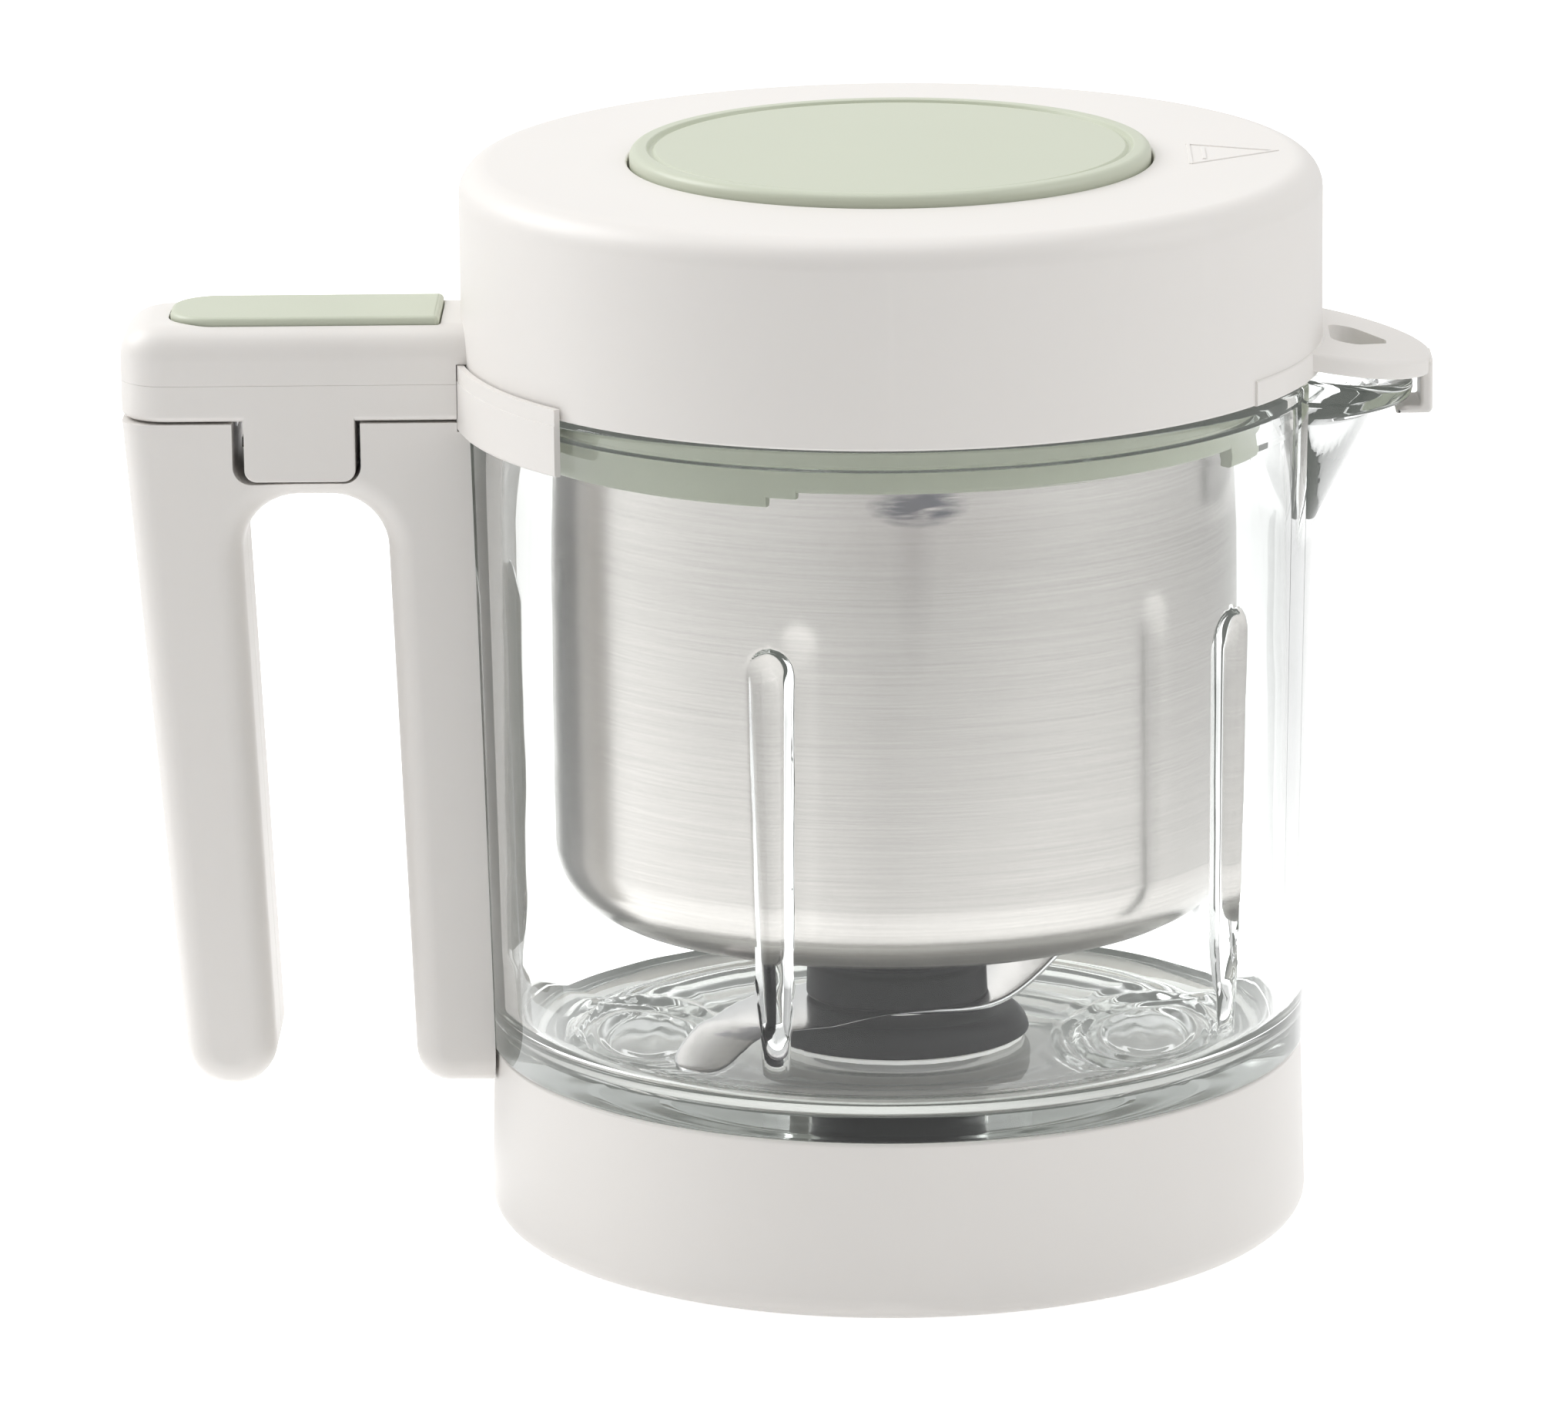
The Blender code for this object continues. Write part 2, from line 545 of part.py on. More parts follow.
def make_guard(paint, lid):
    """Spout guard: a band let into the lid, a plate over the spout and a hook under its lip."""
    band = [(78.9, LID_LOW), (80.5, LID_LOW), (80.5, BAND_TOP), (78.9, BAND_TOP)]
    guard = piece("spout_guard", sector(band, -BAND_HALF, BAND_HALF, 18), paint["white"], lid)
    root_angle = asin((GUARD_R - 0.3) / GUARD_ROOT_R)
    outline = []
    for i in range(19):
        a = radians(-85 + 170 * i / 18)
        outline.append((GUARD_X + GUARD_R * cos(a), GUARD_R * sin(a)))
    for i in range(9):
        a = root_angle * (1 - i / 4)
        outline.append((GUARD_ROOT_R * cos(a), GUARD_ROOT_R * sin(a)))
    plate = extruded(outline, GUARD_HIGH - GUARD_THICK, GUARD_HIGH)
    for v in plate.verts:
        v.co.z -= GUARD_FALL * (v.co.x - LID_R * MM)
    join(guard, plate)
    tip_low = GUARD_HIGH - GUARD_FALL * (SPOUT_END - LID_R)
    hook = [(SPOUT_END, tip_low - 0.6), (SPOUT_END - HOOK_THICK, tip_low - 0.6),
            (SPOUT_END - HOOK_THICK, HOOK_HIGH),
            (SPOUT_END - HOOK_FOOT + HOOK_NOSE[0], HOOK_HIGH),
            (SPOUT_END - HOOK_FOOT, HOOK_HIGH - HOOK_NOSE[1]),
            (SPOUT_END - HOOK_FOOT, HOOK_LOW), (SPOUT_END, HOOK_LOW)]
    join(guard, extruded(hook, -HOOK_HALF, HOOK_HALF, axis="Y"))
    hole = rounded([(82.0, -6.5, 2.4), (85.5, -6.5, 2.4), (92.0, 0.0, 2.0), (85.5, 6.5, 2.4),
                    (82.0, 6.5, 2.4)], 3)
    cut(guard, extruded(hole, 155, 175))


def make_cap(paint, cap):
    rim = arc(CAP_R - 1.6, CAP_TOP - 1.6, 1.6, 0, 90, 2)
    piece("lid_cap", turned([
        (0, CAP_TOP - 0.3), (0, CAP_TOP - 2.6), (CAP_PLUG_R - 2.2, CAP_TOP - 2.6),
        (CAP_PLUG_R - 2.2, 187.5), (CAP_PLUG_R, 187.5), (CAP_PLUG_R, CAP_SEAL_Z - 1.4),
        (40.6, CAP_SEAL_Z - 1.4), (40.6, CAP_SEAL_Z + 1.4), (CAP_PLUG_R, CAP_SEAL_Z + 1.4),
        (CAP_PLUG_R, CAP_TOP - 3.2), (45.9, CAP_TOP - 3.2), (45.9, CAP_LOW), (CAP_R, CAP_LOW),
        *rim, (45.0, CAP_TOP), (44.6, CAP_TOP - 0.3)]), paint["green"], cap)
    piece("cap_seal", turned([(40.8, CAP_SEAL_Z - 1.1), (42.3, CAP_SEAL_Z - 0.8),
                              (42.3, CAP_SEAL_Z + 0.8), (40.8, CAP_SEAL_Z + 1.1)]),
          paint["seal"], cap)


# ---------------------------------------------------------------- handle

def handle_outline():
    """Outline, in x and z, of the open-ended grip before the latch notch is cut."""
    return rounded([
        (-142.8, HANDLE_TOP, 1.5), (-133.3, 26.9, 8.2), (-116.5, 26.9, 8.2),
        (-121.3, 139.0, 9.0), (-94.1, 139.0, 9.0), (-90.4, 27.3, 6.0), (-72.0, 27.3, 0),
        (-72.0, HANDLE_TOP, 0)], 6)


def jug_clearance():
    """Solid that stands for the glass, its base and its collar, grown by their clearance."""
    return turned([(0, 20), (77.5, 20), (77.5, 36), (79.7, 150), (79.8, COLLAR_LOW - GAP),
                   (COLLAR_R + 0.4, COLLAR_LOW - GAP), (COLLAR_R + 0.4, 170), (0, 170)])


def handle_half(side):
    """One moulded half of the grip, on the side of the given sign."""
    face = side * HANDLE_HALF
    seam = side * GAP / 2
    bm = extruded(handle_outline(), min(face, seam), max(face, seam), axis="Y")
    return bevel_edges(bm, lambda co: abs(co.y - face) < 0.01, HANDLE_EDGE)


def make_handle(paint, jug):
    pockets = [
        [(-138.6, 142.0), (-130.6, 45.0), (-119.6, 45.0), (-124.0, 142.0)],
        [(-91.4, 141.5), (-87.9, 45.0), (-80.4, 45.0), (-82.6, 141.5)],
    ]
    for side, name in ((-1, "handle_front_shell"), (1, "handle_back_shell")):
        shell = piece(name, handle_half(side), paint["white"], jug)
        inside, outside = sorted((side * -1.0, side * (HANDLE_HALF - 2.4)))
        for pocket in pockets:
            cut(shell, extruded(pocket, inside, outside, axis="Y"))
        cut(shell, box((NOTCH_LEFT, NOTCH_RIGHT), (-17, 17), (NOTCH_LOW, 157)))
        cut(shell, box((NOTCH_LEFT - 2.0, NOTCH_LEFT + 1), (-5.4, 5.4), (144.4, 157)))
        cut(shell, jug_clearance())
        for x, z in SCREW_SPOTS:
            if side < 0:
                cut(shell, cross_rod(x, z, 1.6, -9.5, 1))
            else:
                cut(shell, cross_rod(x, z, 1.8, -1, 17))
                cut(shell, cross_rod(x, z, 3.6, 9.0, 17))
    for i, (x, z) in enumerate(SCREW_SPOTS):
        screw = turned([(0, 0), (1.3, 1.0), (1.3, 17.6), (3.2, 17.6), (3.2, 19.2), (1.4, 19.8),
                        (0, 19.8)], TINY)
        bmesh.ops.rotate(screw, verts=screw.verts, cent=(0, 0, 0),
                         matrix=Matrix.Rotation(-pi / 2, 3, "X"))
        bmesh.ops.translate(screw, verts=screw.verts, vec=Vector((x, -8.3, z)) * MM)
        piece(f"handle_screw_{i + 1}", screw, paint["steel"], jug)
    keeper = [(NOTCH_LEFT - 1.7, 144.7), (NOTCH_LEFT - 0.5, 144.7), (NOTCH_LEFT - 0.5, 152.6),
              (NOTCH_LEFT + 0.4, 152.6), (NOTCH_LEFT + 0.4, 153.8), (NOTCH_LEFT - 1.7, 153.8)]
    piece("latch_keeper", extruded(keeper, -5.0, 5.0, axis="Y"), paint["steel"], jug)

    inner = COLLAR_R - COLLAR_WALL
    collar = [(inner, COLLAR_LOW), (COLLAR_R - 0.4, COLLAR_LOW), (COLLAR_R, COLLAR_LOW + 0.5),
              (COLLAR_R, COLLAR_HIGH - 0.5), (COLLAR_R - 0.4, COLLAR_HIGH), (inner, COLLAR_HIGH)]
    piece("rim_collar", sector(collar, pi - COLLAR_HALF, pi + COLLAR_HALF, 20),
          paint["white"], jug)


# ---------------------------------------------------------------- lid arm and release

def arm_outline(inset):
    """Plan of the arm, drawn in from its outer wall by the inset."""
    left = HANDLE_END + inset
    half = ARM_HALF - inset
    radius = ARM_END_R - inset
    right = -70.0 if inset == 0 else -83.8
    return rounded([(left, half, radius), (left, -half, radius), (right, -half, 0),
                    (right, half, 0)], 5)


def button_outline(grow):
    left, right, half = BUTTON_LEFT - grow, BUTTON_RIGHT + grow, BUTTON_HALF + grow
    return rounded([(left, half, 8.5), (left, -half, 8.5), (right, -half, 0.8),
                    (right, half, 0.8)], 4)


def lid_clearance():
    """Solid that stands for the lid and the collar below it, grown by their clearance."""
    return turned([(0, 140), (COLLAR_R + 0.4, 140), (COLLAR_R + 0.4, COLLAR_HIGH + GAP),
                   (LID_R + 0.35, COLLAR_HIGH + GAP), (LID_R + 0.35, 180), (0, 180)])


def make_arm(paint, lid):
    lower = piece("arm_lower_shell", extruded(arm_outline(0), ARM_LOW, ARM_SPLIT),
                  paint["white"], lid)
    tab = rounded([(TAB_LEFT, ARM_LOW + 2, 0), (TAB_LEFT, TAB_LOW, 2.3),
                   (TAB_RIGHT, TAB_LOW, 2.3), (TAB_RIGHT, ARM_LOW + 2, 0)], 3)
    join(lower, extruded(tab, -ARM_HALF, ARM_HALF, axis="Y"))
    cut(lower, extruded(arm_outline(ARM_WALL), ARM_LOW + 2, ARM_SPLIT + 1))
    cut(lower, box((-117.8, -101.6), (-4.2, 4.2), (TAB_LOW + 2.2, ARM_LOW + 4)))
    cut(lower, box((TAB_LEFT - 1, -117), (-3.6, 3.6), (TAB_LOW + 2.2, 151.6)))
    cut(lower, lid_clearance())
    for low, high in ((-6.4, -4.4), (4.4, 6.4)):
        join(lower, box((LATCH_X - 2.6, LATCH_X + 2.6), (low, high), (ARM_LOW + 1, 165.2)))
    cut(lower, cross_rod(LATCH_X, LATCH_Z, 1.5, -8, 8))

    body = extruded(arm_outline(0), ARM_SPLIT + GAP, ARM_TOP)
    body = bevel_edges(body, lambda co: co.z > ARM_TOP - 0.01 and co.x < -69, 5.5, 4)
    upper = piece("arm_upper_shell", body, paint["white"], lid)
    cut(upper, extruded(arm_outline(ARM_WALL), ARM_SPLIT - 1, ARM_TOP - 2.2))
    cut(upper, extruded(button_outline(GAP), 165, ARM_TOP + 2))
    cut(upper, lid_clearance())
    piece("latch_pin", cross_rod(LATCH_X, LATCH_Z, 1.2, -6.2, 6.2, TINY), paint["steel"], lid)


def make_spring(paint, lid):
    """Return spring under the button, wound between the arm's floor and the button's roof."""
    turns, per_turn, sides = 6, 10, 5
    low, high = ARM_LOW + 2.9, BUTTON_TOP - 2.9
    rings = []
    for i in range(turns * per_turn + 1):
        a = 2 * pi * i / per_turn
        share = i / (turns * per_turn)
        out = Vector((cos(a), sin(a), 0))
        middle = Vector((SPRING_X, 0, low + (high - low) * share)) + out * SPRING_R
        rings.append([middle + out * SPRING_WIRE * cos(b) + Vector((0, 0, SPRING_WIRE * sin(b)))
                      for b in [2 * pi * k / sides for k in range(sides)]])
    piece("button_spring", lofted(rings, closed=False), paint["steel"], lid)


def make_button(paint, button):
    body = extruded(button_outline(0), BUTTON_TOP - 6.2, BUTTON_TOP)
    body = bevel_edges(body, lambda co: co.z > BUTTON_TOP - 0.01, 1.0, 2)
    top = piece("release_button", body, paint["green"], button)
    join(top, box((BUTTON_LEFT + 6, BUTTON_RIGHT - 4), (-BUTTON_HALF - 1.2, BUTTON_HALF + 1.2),
                  (BUTTON_TOP - 6.2, BUTTON_TOP - 4.0)))
    cut(top, extruded(button_outline(-1.6), BUTTON_TOP - 8, BUTTON_TOP - 1.9))
    join(top, box((LATCH_X - 13.0, LATCH_X - 11.0), (-2.4, 2.4), (164.0, BUTTON_TOP - 1.0)))


def make_latch(paint, latch):
    """Bell crank: the button pushes its arm down and its nose swings out of the keeper."""
    outline = [(-127.0, 161.6), (-116.0, 161.2), (-115.4, 150.6), (-121.1, 150.0),
               (-121.1, 148.2), (-112.2, 148.2), (-111.0, 160.4), (-110.6, 163.6),
               (-112.0, 165.2), (-115.0, 165.2), (-116.6, 163.6), (-127.0, 163.6)]
    lever = piece("latch_lever", extruded(outline, -3.2, 3.2, axis="Y"), paint["grey"], latch)
    cut(lever, cross_rod(LATCH_X, LATCH_Z, 1.5, -5, 5))


# ---------------------------------------------------------------- assembly

def main():
    for obj in list(bpy.data.objects):
        bpy.data.objects.remove(obj)
    paint = make_materials()
    jug = holder("jug_axis", 0, 0, 0)
    spin = holder("blade_spin_axis", 0, 0, BLADE_Z, jug)
    nut = holder("lock_nut_axis", 0, 0, SHELF_LOW, jug)
    lid = holder("lid_tilt_axis", HINGE_X, 0, HINGE_Z, jug)
    cap = holder("cap_lift_axis", 0, 0, CAP_LOW, lid)
    button = holder("button_slide_axis", (BUTTON_LEFT + BUTTON_RIGHT) / 2, 0, BUTTON_TOP, lid)
    latch = holder("latch_pivot_axis", LATCH_X, 0, LATCH_Z, lid)

    make_bowl(paint, jug)
    make_base(paint, jug)
    make_blade_seat(paint, jug)
    make_blades(paint, jug, spin)
    make_lock_nut(paint, nut)
    make_basket(paint, jug)
    make_lid(paint, lid)
    make_guard(paint, lid)
    make_cap(paint, cap)
    make_handle(paint, jug)
    make_arm(paint, lid)
    make_spring(paint, lid)
    make_button(paint, button)
    make_latch(paint, latch)


main()
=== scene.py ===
"""Looks of the glass steaming and blending bowl of a baby food maker.

Every outline is drawn in millimetres about the bowl's own axis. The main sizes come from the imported
pieces, and MM turns millimetres into Blender's metres.
"""
import json
from math import cos, exp, hypot, pi, radians, sin, sqrt, tan

import bmesh
import bpy
from mathutils import Matrix, Vector


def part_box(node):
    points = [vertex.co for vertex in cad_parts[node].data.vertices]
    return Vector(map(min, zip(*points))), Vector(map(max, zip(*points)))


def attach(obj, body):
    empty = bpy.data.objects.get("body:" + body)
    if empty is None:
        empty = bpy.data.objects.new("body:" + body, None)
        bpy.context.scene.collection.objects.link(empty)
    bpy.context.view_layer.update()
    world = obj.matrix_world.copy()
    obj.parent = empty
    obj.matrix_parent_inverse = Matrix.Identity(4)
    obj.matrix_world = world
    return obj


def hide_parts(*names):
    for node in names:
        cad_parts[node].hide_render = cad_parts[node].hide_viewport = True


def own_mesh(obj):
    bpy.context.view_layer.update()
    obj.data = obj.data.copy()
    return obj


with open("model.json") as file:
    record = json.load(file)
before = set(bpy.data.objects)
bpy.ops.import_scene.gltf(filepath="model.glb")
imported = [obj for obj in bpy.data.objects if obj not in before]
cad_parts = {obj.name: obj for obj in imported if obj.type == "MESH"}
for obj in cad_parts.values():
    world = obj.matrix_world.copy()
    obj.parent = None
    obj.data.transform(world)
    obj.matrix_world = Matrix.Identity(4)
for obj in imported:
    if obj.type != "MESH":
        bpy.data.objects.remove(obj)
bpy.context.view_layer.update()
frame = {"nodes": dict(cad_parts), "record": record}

MM = 0.001
BASE_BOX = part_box("base_ring")
AXIS_X = (BASE_BOX[0][0] + BASE_BOX[1][0]) / 2 / MM


def span(node):
    """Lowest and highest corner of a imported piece, in millimetres about the bowl's axis."""
    low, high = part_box(node)
    shift = Vector((AXIS_X, 0, 0))
    return Vector(low) / MM - shift, Vector(high) / MM - shift


GLASS_LOW, GLASS_HIGH = span("glass_bowl")
LID_LOW, LID_HIGH = span("lid_shell")
CAP_LOW, CAP_HIGH = span("lid_cap")
GRIP_LOW, GRIP_HIGH = span("handle_front_shell")
ARM_LOW, ARM_HIGH = span("arm_lower_shell")
BUTTON_LOW, BUTTON_HIGH = span("release_button")
COLLAR_LOW, COLLAR_HIGH = span("rim_collar")
BASKET_LOW, BASKET_HIGH = span("steam_basket")
RING_LOW, RING_HIGH = span("basket_ring")
HUB_LOW = span("blade_hub")[0].z
ARM_TOP = span("arm_upper_shell")[1].z
GUARD_TIP = span("spout_guard")[1].x
BASE_R, BASE_TOP = span("base_ring")[1].yz

LID_R = LID_HIGH.y
FINE = 192                     # facets on the large turned pieces
MEDIUM = 96                    # facets on the small turned pieces
HAIR = 0.01                    # edge rounding that leaves an edge sharp


# ---------------------------------------------------------------- shape tools

def add_object(name, data):
    """Object that shows the data, linked to the scene."""
    obj = bpy.data.objects.new(name, data)
    bpy.context.scene.collection.objects.link(obj)
    return obj


def drawn_object(name, bm, sharp=35):
    """Object from a mesh drawn about the bowl's axis. Edges past the sharp angle stay sharp."""
    bmesh.ops.remove_doubles(bm, verts=bm.verts, dist=0.001 * MM)
    bmesh.ops.recalc_face_normals(bm, faces=bm.faces)
    bmesh.ops.translate(bm, verts=bm.verts, vec=(AXIS_X * MM, 0, 0))
    mesh = bpy.data.meshes.new(name)
    bm.to_mesh(mesh)
    bm.free()
    mesh.shade_smooth()
    mesh.set_sharp_from_angle(angle=radians(sharp))
    return add_object(name, mesh)


def new_piece(name, bm, material, body, nodes=(), sharp=35):
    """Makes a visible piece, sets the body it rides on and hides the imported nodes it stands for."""
    obj = drawn_object(name, bm, sharp)
    obj.data.materials.append(material)
    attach(obj, body)
    if nodes:
        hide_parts(*nodes)
    return obj


def even_shading(obj):
    """Lets the large faces set the shading beside small rounded edges."""
    modifier = obj.modifiers.new("even shading", "WEIGHTED_NORMAL")
    modifier.keep_sharp = True
    modifier.weight = 80


def rounded(corners, steps=5):
    """Outline through (u, v, radius) corners, each rounded by its own radius."""
    outline = []
    for i, (u, v, radius) in enumerate(corners):
        here = Vector((u, v))
        if radius == 0:
            outline.append((u, v))
            continue
        back = (Vector(corners[i - 1][:2]) - here).normalized()
        ahead = (Vector(corners[(i + 1) % len(corners)][:2]) - here).normalized()
        half = max(back.angle(ahead) / 2, 0.01)
        if half > pi / 2 - 0.01:
            outline.extend([(u, v)] * (steps + 1))
            continue
        centre = here + (back + ahead).normalized() * radius / sin(half)
        start = here + back * radius / tan(half) - centre
        left_turn = ahead.x * back.y - ahead.y * back.x > 0
        sweep = (pi - 2 * half) * (1 if left_turn else -1)
        for k in range(steps + 1):
            a = sweep * k / steps
            outline.append((centre.x + start.x * cos(a) - start.y * sin(a),
                            centre.y + start.x * sin(a) + start.y * cos(a)))
    return outline


def lofted(rings, closed):
    """Skin through equal rings of points, either closed on itself or capped at both ends."""
    bm = bmesh.new()
    loops = [[bm.verts.new(Vector(p) * MM) for p in ring] for ring in rings]
    pairs = list(zip(loops, loops[1:]))
    if closed:
        pairs.append((loops[-1], loops[0]))
    else:
        bm.faces.new(loops[0])
        bm.faces.new(loops[-1])
    for ring, following in pairs:
        for i in range(len(ring)):
            bm.faces.new((ring[i - 1], ring[i], following[i], following[i - 1]))
    return bm


def turned(corners, steps=FINE, arc_steps=4):
    """Full turn of a closed section of (radius, height, corner radius) points."""
    section = rounded(corners, arc_steps)
    bm = bmesh.new()
    points = [bm.verts.new((r * MM, 0, z * MM)) for r, z in section]
    edges = []
    for i in range(len(points)):
        if section[i - 1][0] > 0 or section[i][0] > 0:
            edges.append(bm.edges.new((points[i - 1], points[i])))
    bmesh.ops.spin(bm, geom=points + edges, cent=(0, 0, 0), axis=(0, 0, 1), dvec=(0, 0, 0),
                   angle=2 * pi, steps=steps, use_merge=True)
    return bm


def sector(corners, start, end, steps, arc_steps=4):
    """Part turn of a closed (radius, height, corner radius) section."""
    section = rounded(corners, arc_steps)
    rings = []
    for i in range(steps + 1):
        a = start + (end - start) * i / steps
        rings.append([(r * cos(a), r * sin(a), z) for r, z in section])
    return lofted(rings, closed=False)


def drawn_in(outline, distance):
    """The outline moved inward by a distance."""
    points = [Vector(p) for p in outline]
    count = len(points)
    turn = sum(points[i - 1].x * points[i].y - points[i].x * points[i - 1].y for i in range(count))
    side = 1 if turn > 0 else -1
    moved = []
    for i, here in enumerate(points):
        before = (here - points[i - 1]).normalized()
        after = (points[(i + 1) % count] - here).normalized()
        out_a = Vector((before.y, -before.x)) * side
        out_b = Vector((after.y, -after.x)) * side
        shift = (out_a + out_b) / max(1 + out_a.dot(out_b), 0.2)
        moved.append(here - shift * distance)
    return moved


def soft_prism(outline, low, high, low_edge, high_edge, axis="Z", steps=5):
    """Prism of an outline whose two end edges are rounded by their own radii."""
    levels = []
    for k in range(steps + 1):
        a = pi / 2 * k / steps
        levels.append((low_edge * (1 - sin(a)), low + low_edge * (1 - cos(a))))
    for k in range(steps, -1, -1):
        a = pi / 2 * k / steps
        levels.append((high_edge * (1 - sin(a)), high - high_edge * (1 - cos(a))))
    rings = []
    for distance, level in levels:
        ring = drawn_in(outline, distance)
        if axis == "Z":
            rings.append([(p.x, p.y, level) for p in ring])
        else:
            rings.append([(p.x, level, p.y) for p in ring])
    return lofted(rings, closed=False)


def plain_prism(outline, low, high, axis="Z"):
    """Prism with sharp ends, for cutting."""
    return soft_prism(outline, low, high, HAIR, HAIR, axis, steps=1)


def cut(obj, bm, operation="DIFFERENCE"):
    """Changes a piece by a shape drawn about the bowl's axis, and keeps the result."""
    cutter = drawn_object("cutter", bm)
    mesh = cutter.data
    modifier = obj.modifiers.new("cut", "BOOLEAN")
    modifier.operation = operation
    modifier.object = cutter
    modifier.solver = "EXACT"
    graph = bpy.context.evaluated_depsgraph_get()
    result = bpy.data.meshes.new_from_object(obj.evaluated_get(graph))
    obj.modifiers.remove(modifier)
    old = obj.data
    obj.data = result
    result.name = old.name
    bpy.data.meshes.remove(old)
    bpy.data.objects.remove(cutter)
    bpy.data.meshes.remove(mesh)
    obj.data.set_sharp_from_angle(angle=radians(30))


def block(x, y, z):
    """Plain box between the two ends given for each axis."""
    return plain_prism([(x[0], y[0]), (x[1], y[0]), (x[1], y[1]), (x[0], y[1])], *z)


# ---------------------------------------------------------------- materials

def new_material(name):
    """Node material with its node tree and its Principled shader."""
    material = bpy.data.materials.new(name)
    material.use_nodes = True
    tree = material.node_tree
    shader = tree.nodes["Principled BSDF"]
    return material, tree, shader


def set_inputs(node, values):
    """Sets a node's unlinked inputs, given by name."""
    for name, value in values.items():
        node.inputs[name].default_value = value


def noise(tree, coords, scale, detail, stretch=None):
    """Noise texture in object space, in features per metre, optionally stretched."""
    texture = tree.nodes.new("ShaderNodeTexNoise")
    set_inputs(texture, {"Scale": scale, "Detail": detail})
    if stretch is None:
        tree.links.new(coords, texture.inputs["Vector"])
    else:
        mapping = tree.nodes.new("ShaderNodeMapping")
        mapping.inputs["Scale"].default_value = stretch
        tree.links.new(coords, mapping.inputs["Vector"])
        tree.links.new(mapping.outputs["Vector"], texture.inputs["Vector"])
    return texture.outputs["Fac"]


def to_range(tree, value, low, high):
    """Maps a 0 to 1 value onto a range."""
    node = tree.nodes.new("ShaderNodeMapRange")
    set_inputs(node, {"To Min": low, "To Max": high})
    tree.links.new(value, node.inputs["Value"])
    return node.outputs["Result"]


def combined(tree, operation, first, second):
    """Result of a Math node on two links or numbers."""
    node = tree.nodes.new("ShaderNodeMath")
    node.operation = operation
    for value, socket in ((first, node.inputs[0]), (second, node.inputs[1])):
        if isinstance(value, (int, float)):
            socket.default_value = value
        else:
            tree.links.new(value, socket)
    return node.outputs["Value"]


def limited(tree, value, low, high):
    """A linked value kept between two numbers."""
    return combined(tree, "MINIMUM", combined(tree, "MAXIMUM", value, low), high)


def mixed(tree, share, first, second):
    """Colour from the first, fixed or linked, towards the second, fixed, by a linked share."""
    node = tree.nodes.new("ShaderNodeMix")
    node.data_type = "RGBA"
    if isinstance(first, tuple):
        node.inputs["A"].default_value = (*first, 1)
    else:
        tree.links.new(first, node.inputs["A"])
    node.inputs["B"].default_value = (*second, 1)
    tree.links.new(share, node.inputs["Factor"])
    return node.outputs["Result"]


def bumped(tree, shader, height, strength, distance):
    """Roughens the shading by a height map, which is a distance high in metres."""
    node = tree.nodes.new("ShaderNodeBump")
    set_inputs(node, {"Strength": strength, "Distance": distance})
    tree.links.new(height, node.inputs["Height"])
    tree.links.new(node.outputs["Normal"], shader.inputs["Normal"])


def object_coords(tree):
    """Place on the object, in metres."""
    return tree.nodes.new("ShaderNodeTexCoord").outputs["Object"]


def moulded_plastic(name, colour, roughness, grain=0.12, specular=0.5):
    """Satin moulded plastic: fine spark-eroded grain, faint flow clouds, a little sheen."""
    material, tree, shader = new_material(name)
    coords = object_coords(tree)
    clouds = noise(tree, coords, 22, 2)
    light = tuple(min(c * 1.015, 1) for c in colour)
    dark = tuple(c * 0.985 for c in colour)
    tree.links.new(mixed(tree, clouds, dark, light), shader.inputs["Base Color"])
    fine = noise(tree, coords, 2600, 2)
    tree.links.new(to_range(tree, fine, roughness - 0.05, roughness + 0.05),
                   shader.inputs["Roughness"])
    set_inputs(shader, {"IOR": 1.48, "Subsurface Weight": 0.08,
                        "Subsurface Radius": (0.003, 0.0026, 0.0022),
                        "Specular IOR Level": specular})
    bumped(tree, shader, fine, grain, 0.03 * MM)
    return material


def clear_glass():
    """Pressed clear glass with the slow waviness of a moulded wall. It darkens with its depth."""
    material, tree, shader = new_material("pressed_glass")
    output = tree.nodes["Material Output"]
    coords = object_coords(tree)
    set_inputs(shader, {"Base Color": (0.985, 0.995, 0.99, 1), "Transmission Weight": 1.0,
                        "Specular Tint": (0.6, 0.6, 0.6, 1), "IOR": 1.5,
                        "Emission Color": (0.94, 1.0, 0.92, 1)})
    bumped(tree, shader, noise(tree, coords, 38, 1), 0.1, 1 * MM)

    axes = tree.nodes.new("ShaderNodeSeparateXYZ")
    tree.links.new(coords, axes.inputs["Vector"])
    underside = combined(tree, "LESS_THAN", axes.outputs["Z"], (GLASS_LOW.z + 0.3) * MM)
    tree.links.new(combined(tree, "MULTIPLY", underside, 0.12), shader.inputs["Roughness"])

    depth = tree.nodes.new("ShaderNodeVolumeAbsorption")
    set_inputs(depth, {"Color": (0.2, 0.28, 0.22, 1), "Density": 4.0})
    tree.links.new(depth.outputs["Volume"], output.inputs["Volume"])

    # Light that bounces on inside the glass is cut off by the renderer, so it gets a faint glow
    path = tree.nodes.new("ShaderNodeLightPath")
    trapped = combined(tree, "GREATER_THAN", path.outputs["Glossy Depth"], 3.5)
    tree.links.new(combined(tree, "MULTIPLY", trapped, 0.075), shader.inputs["Emission Strength"])

    # Lamps shine straight through
    clear = tree.nodes.new("ShaderNodeBsdfTransparent")
    set_inputs(clear, {"Color": (0.985, 0.99, 0.987, 1)})
    mix = tree.nodes.new("ShaderNodeMixShader")
    tree.links.new(path.outputs["Is Shadow Ray"], mix.inputs["Fac"])
    tree.links.new(shader.outputs["BSDF"], mix.inputs[1])
    tree.links.new(clear.outputs["BSDF"], mix.inputs[2])
    tree.links.new(mix.outputs["Shader"], output.inputs["Surface"])
    return material


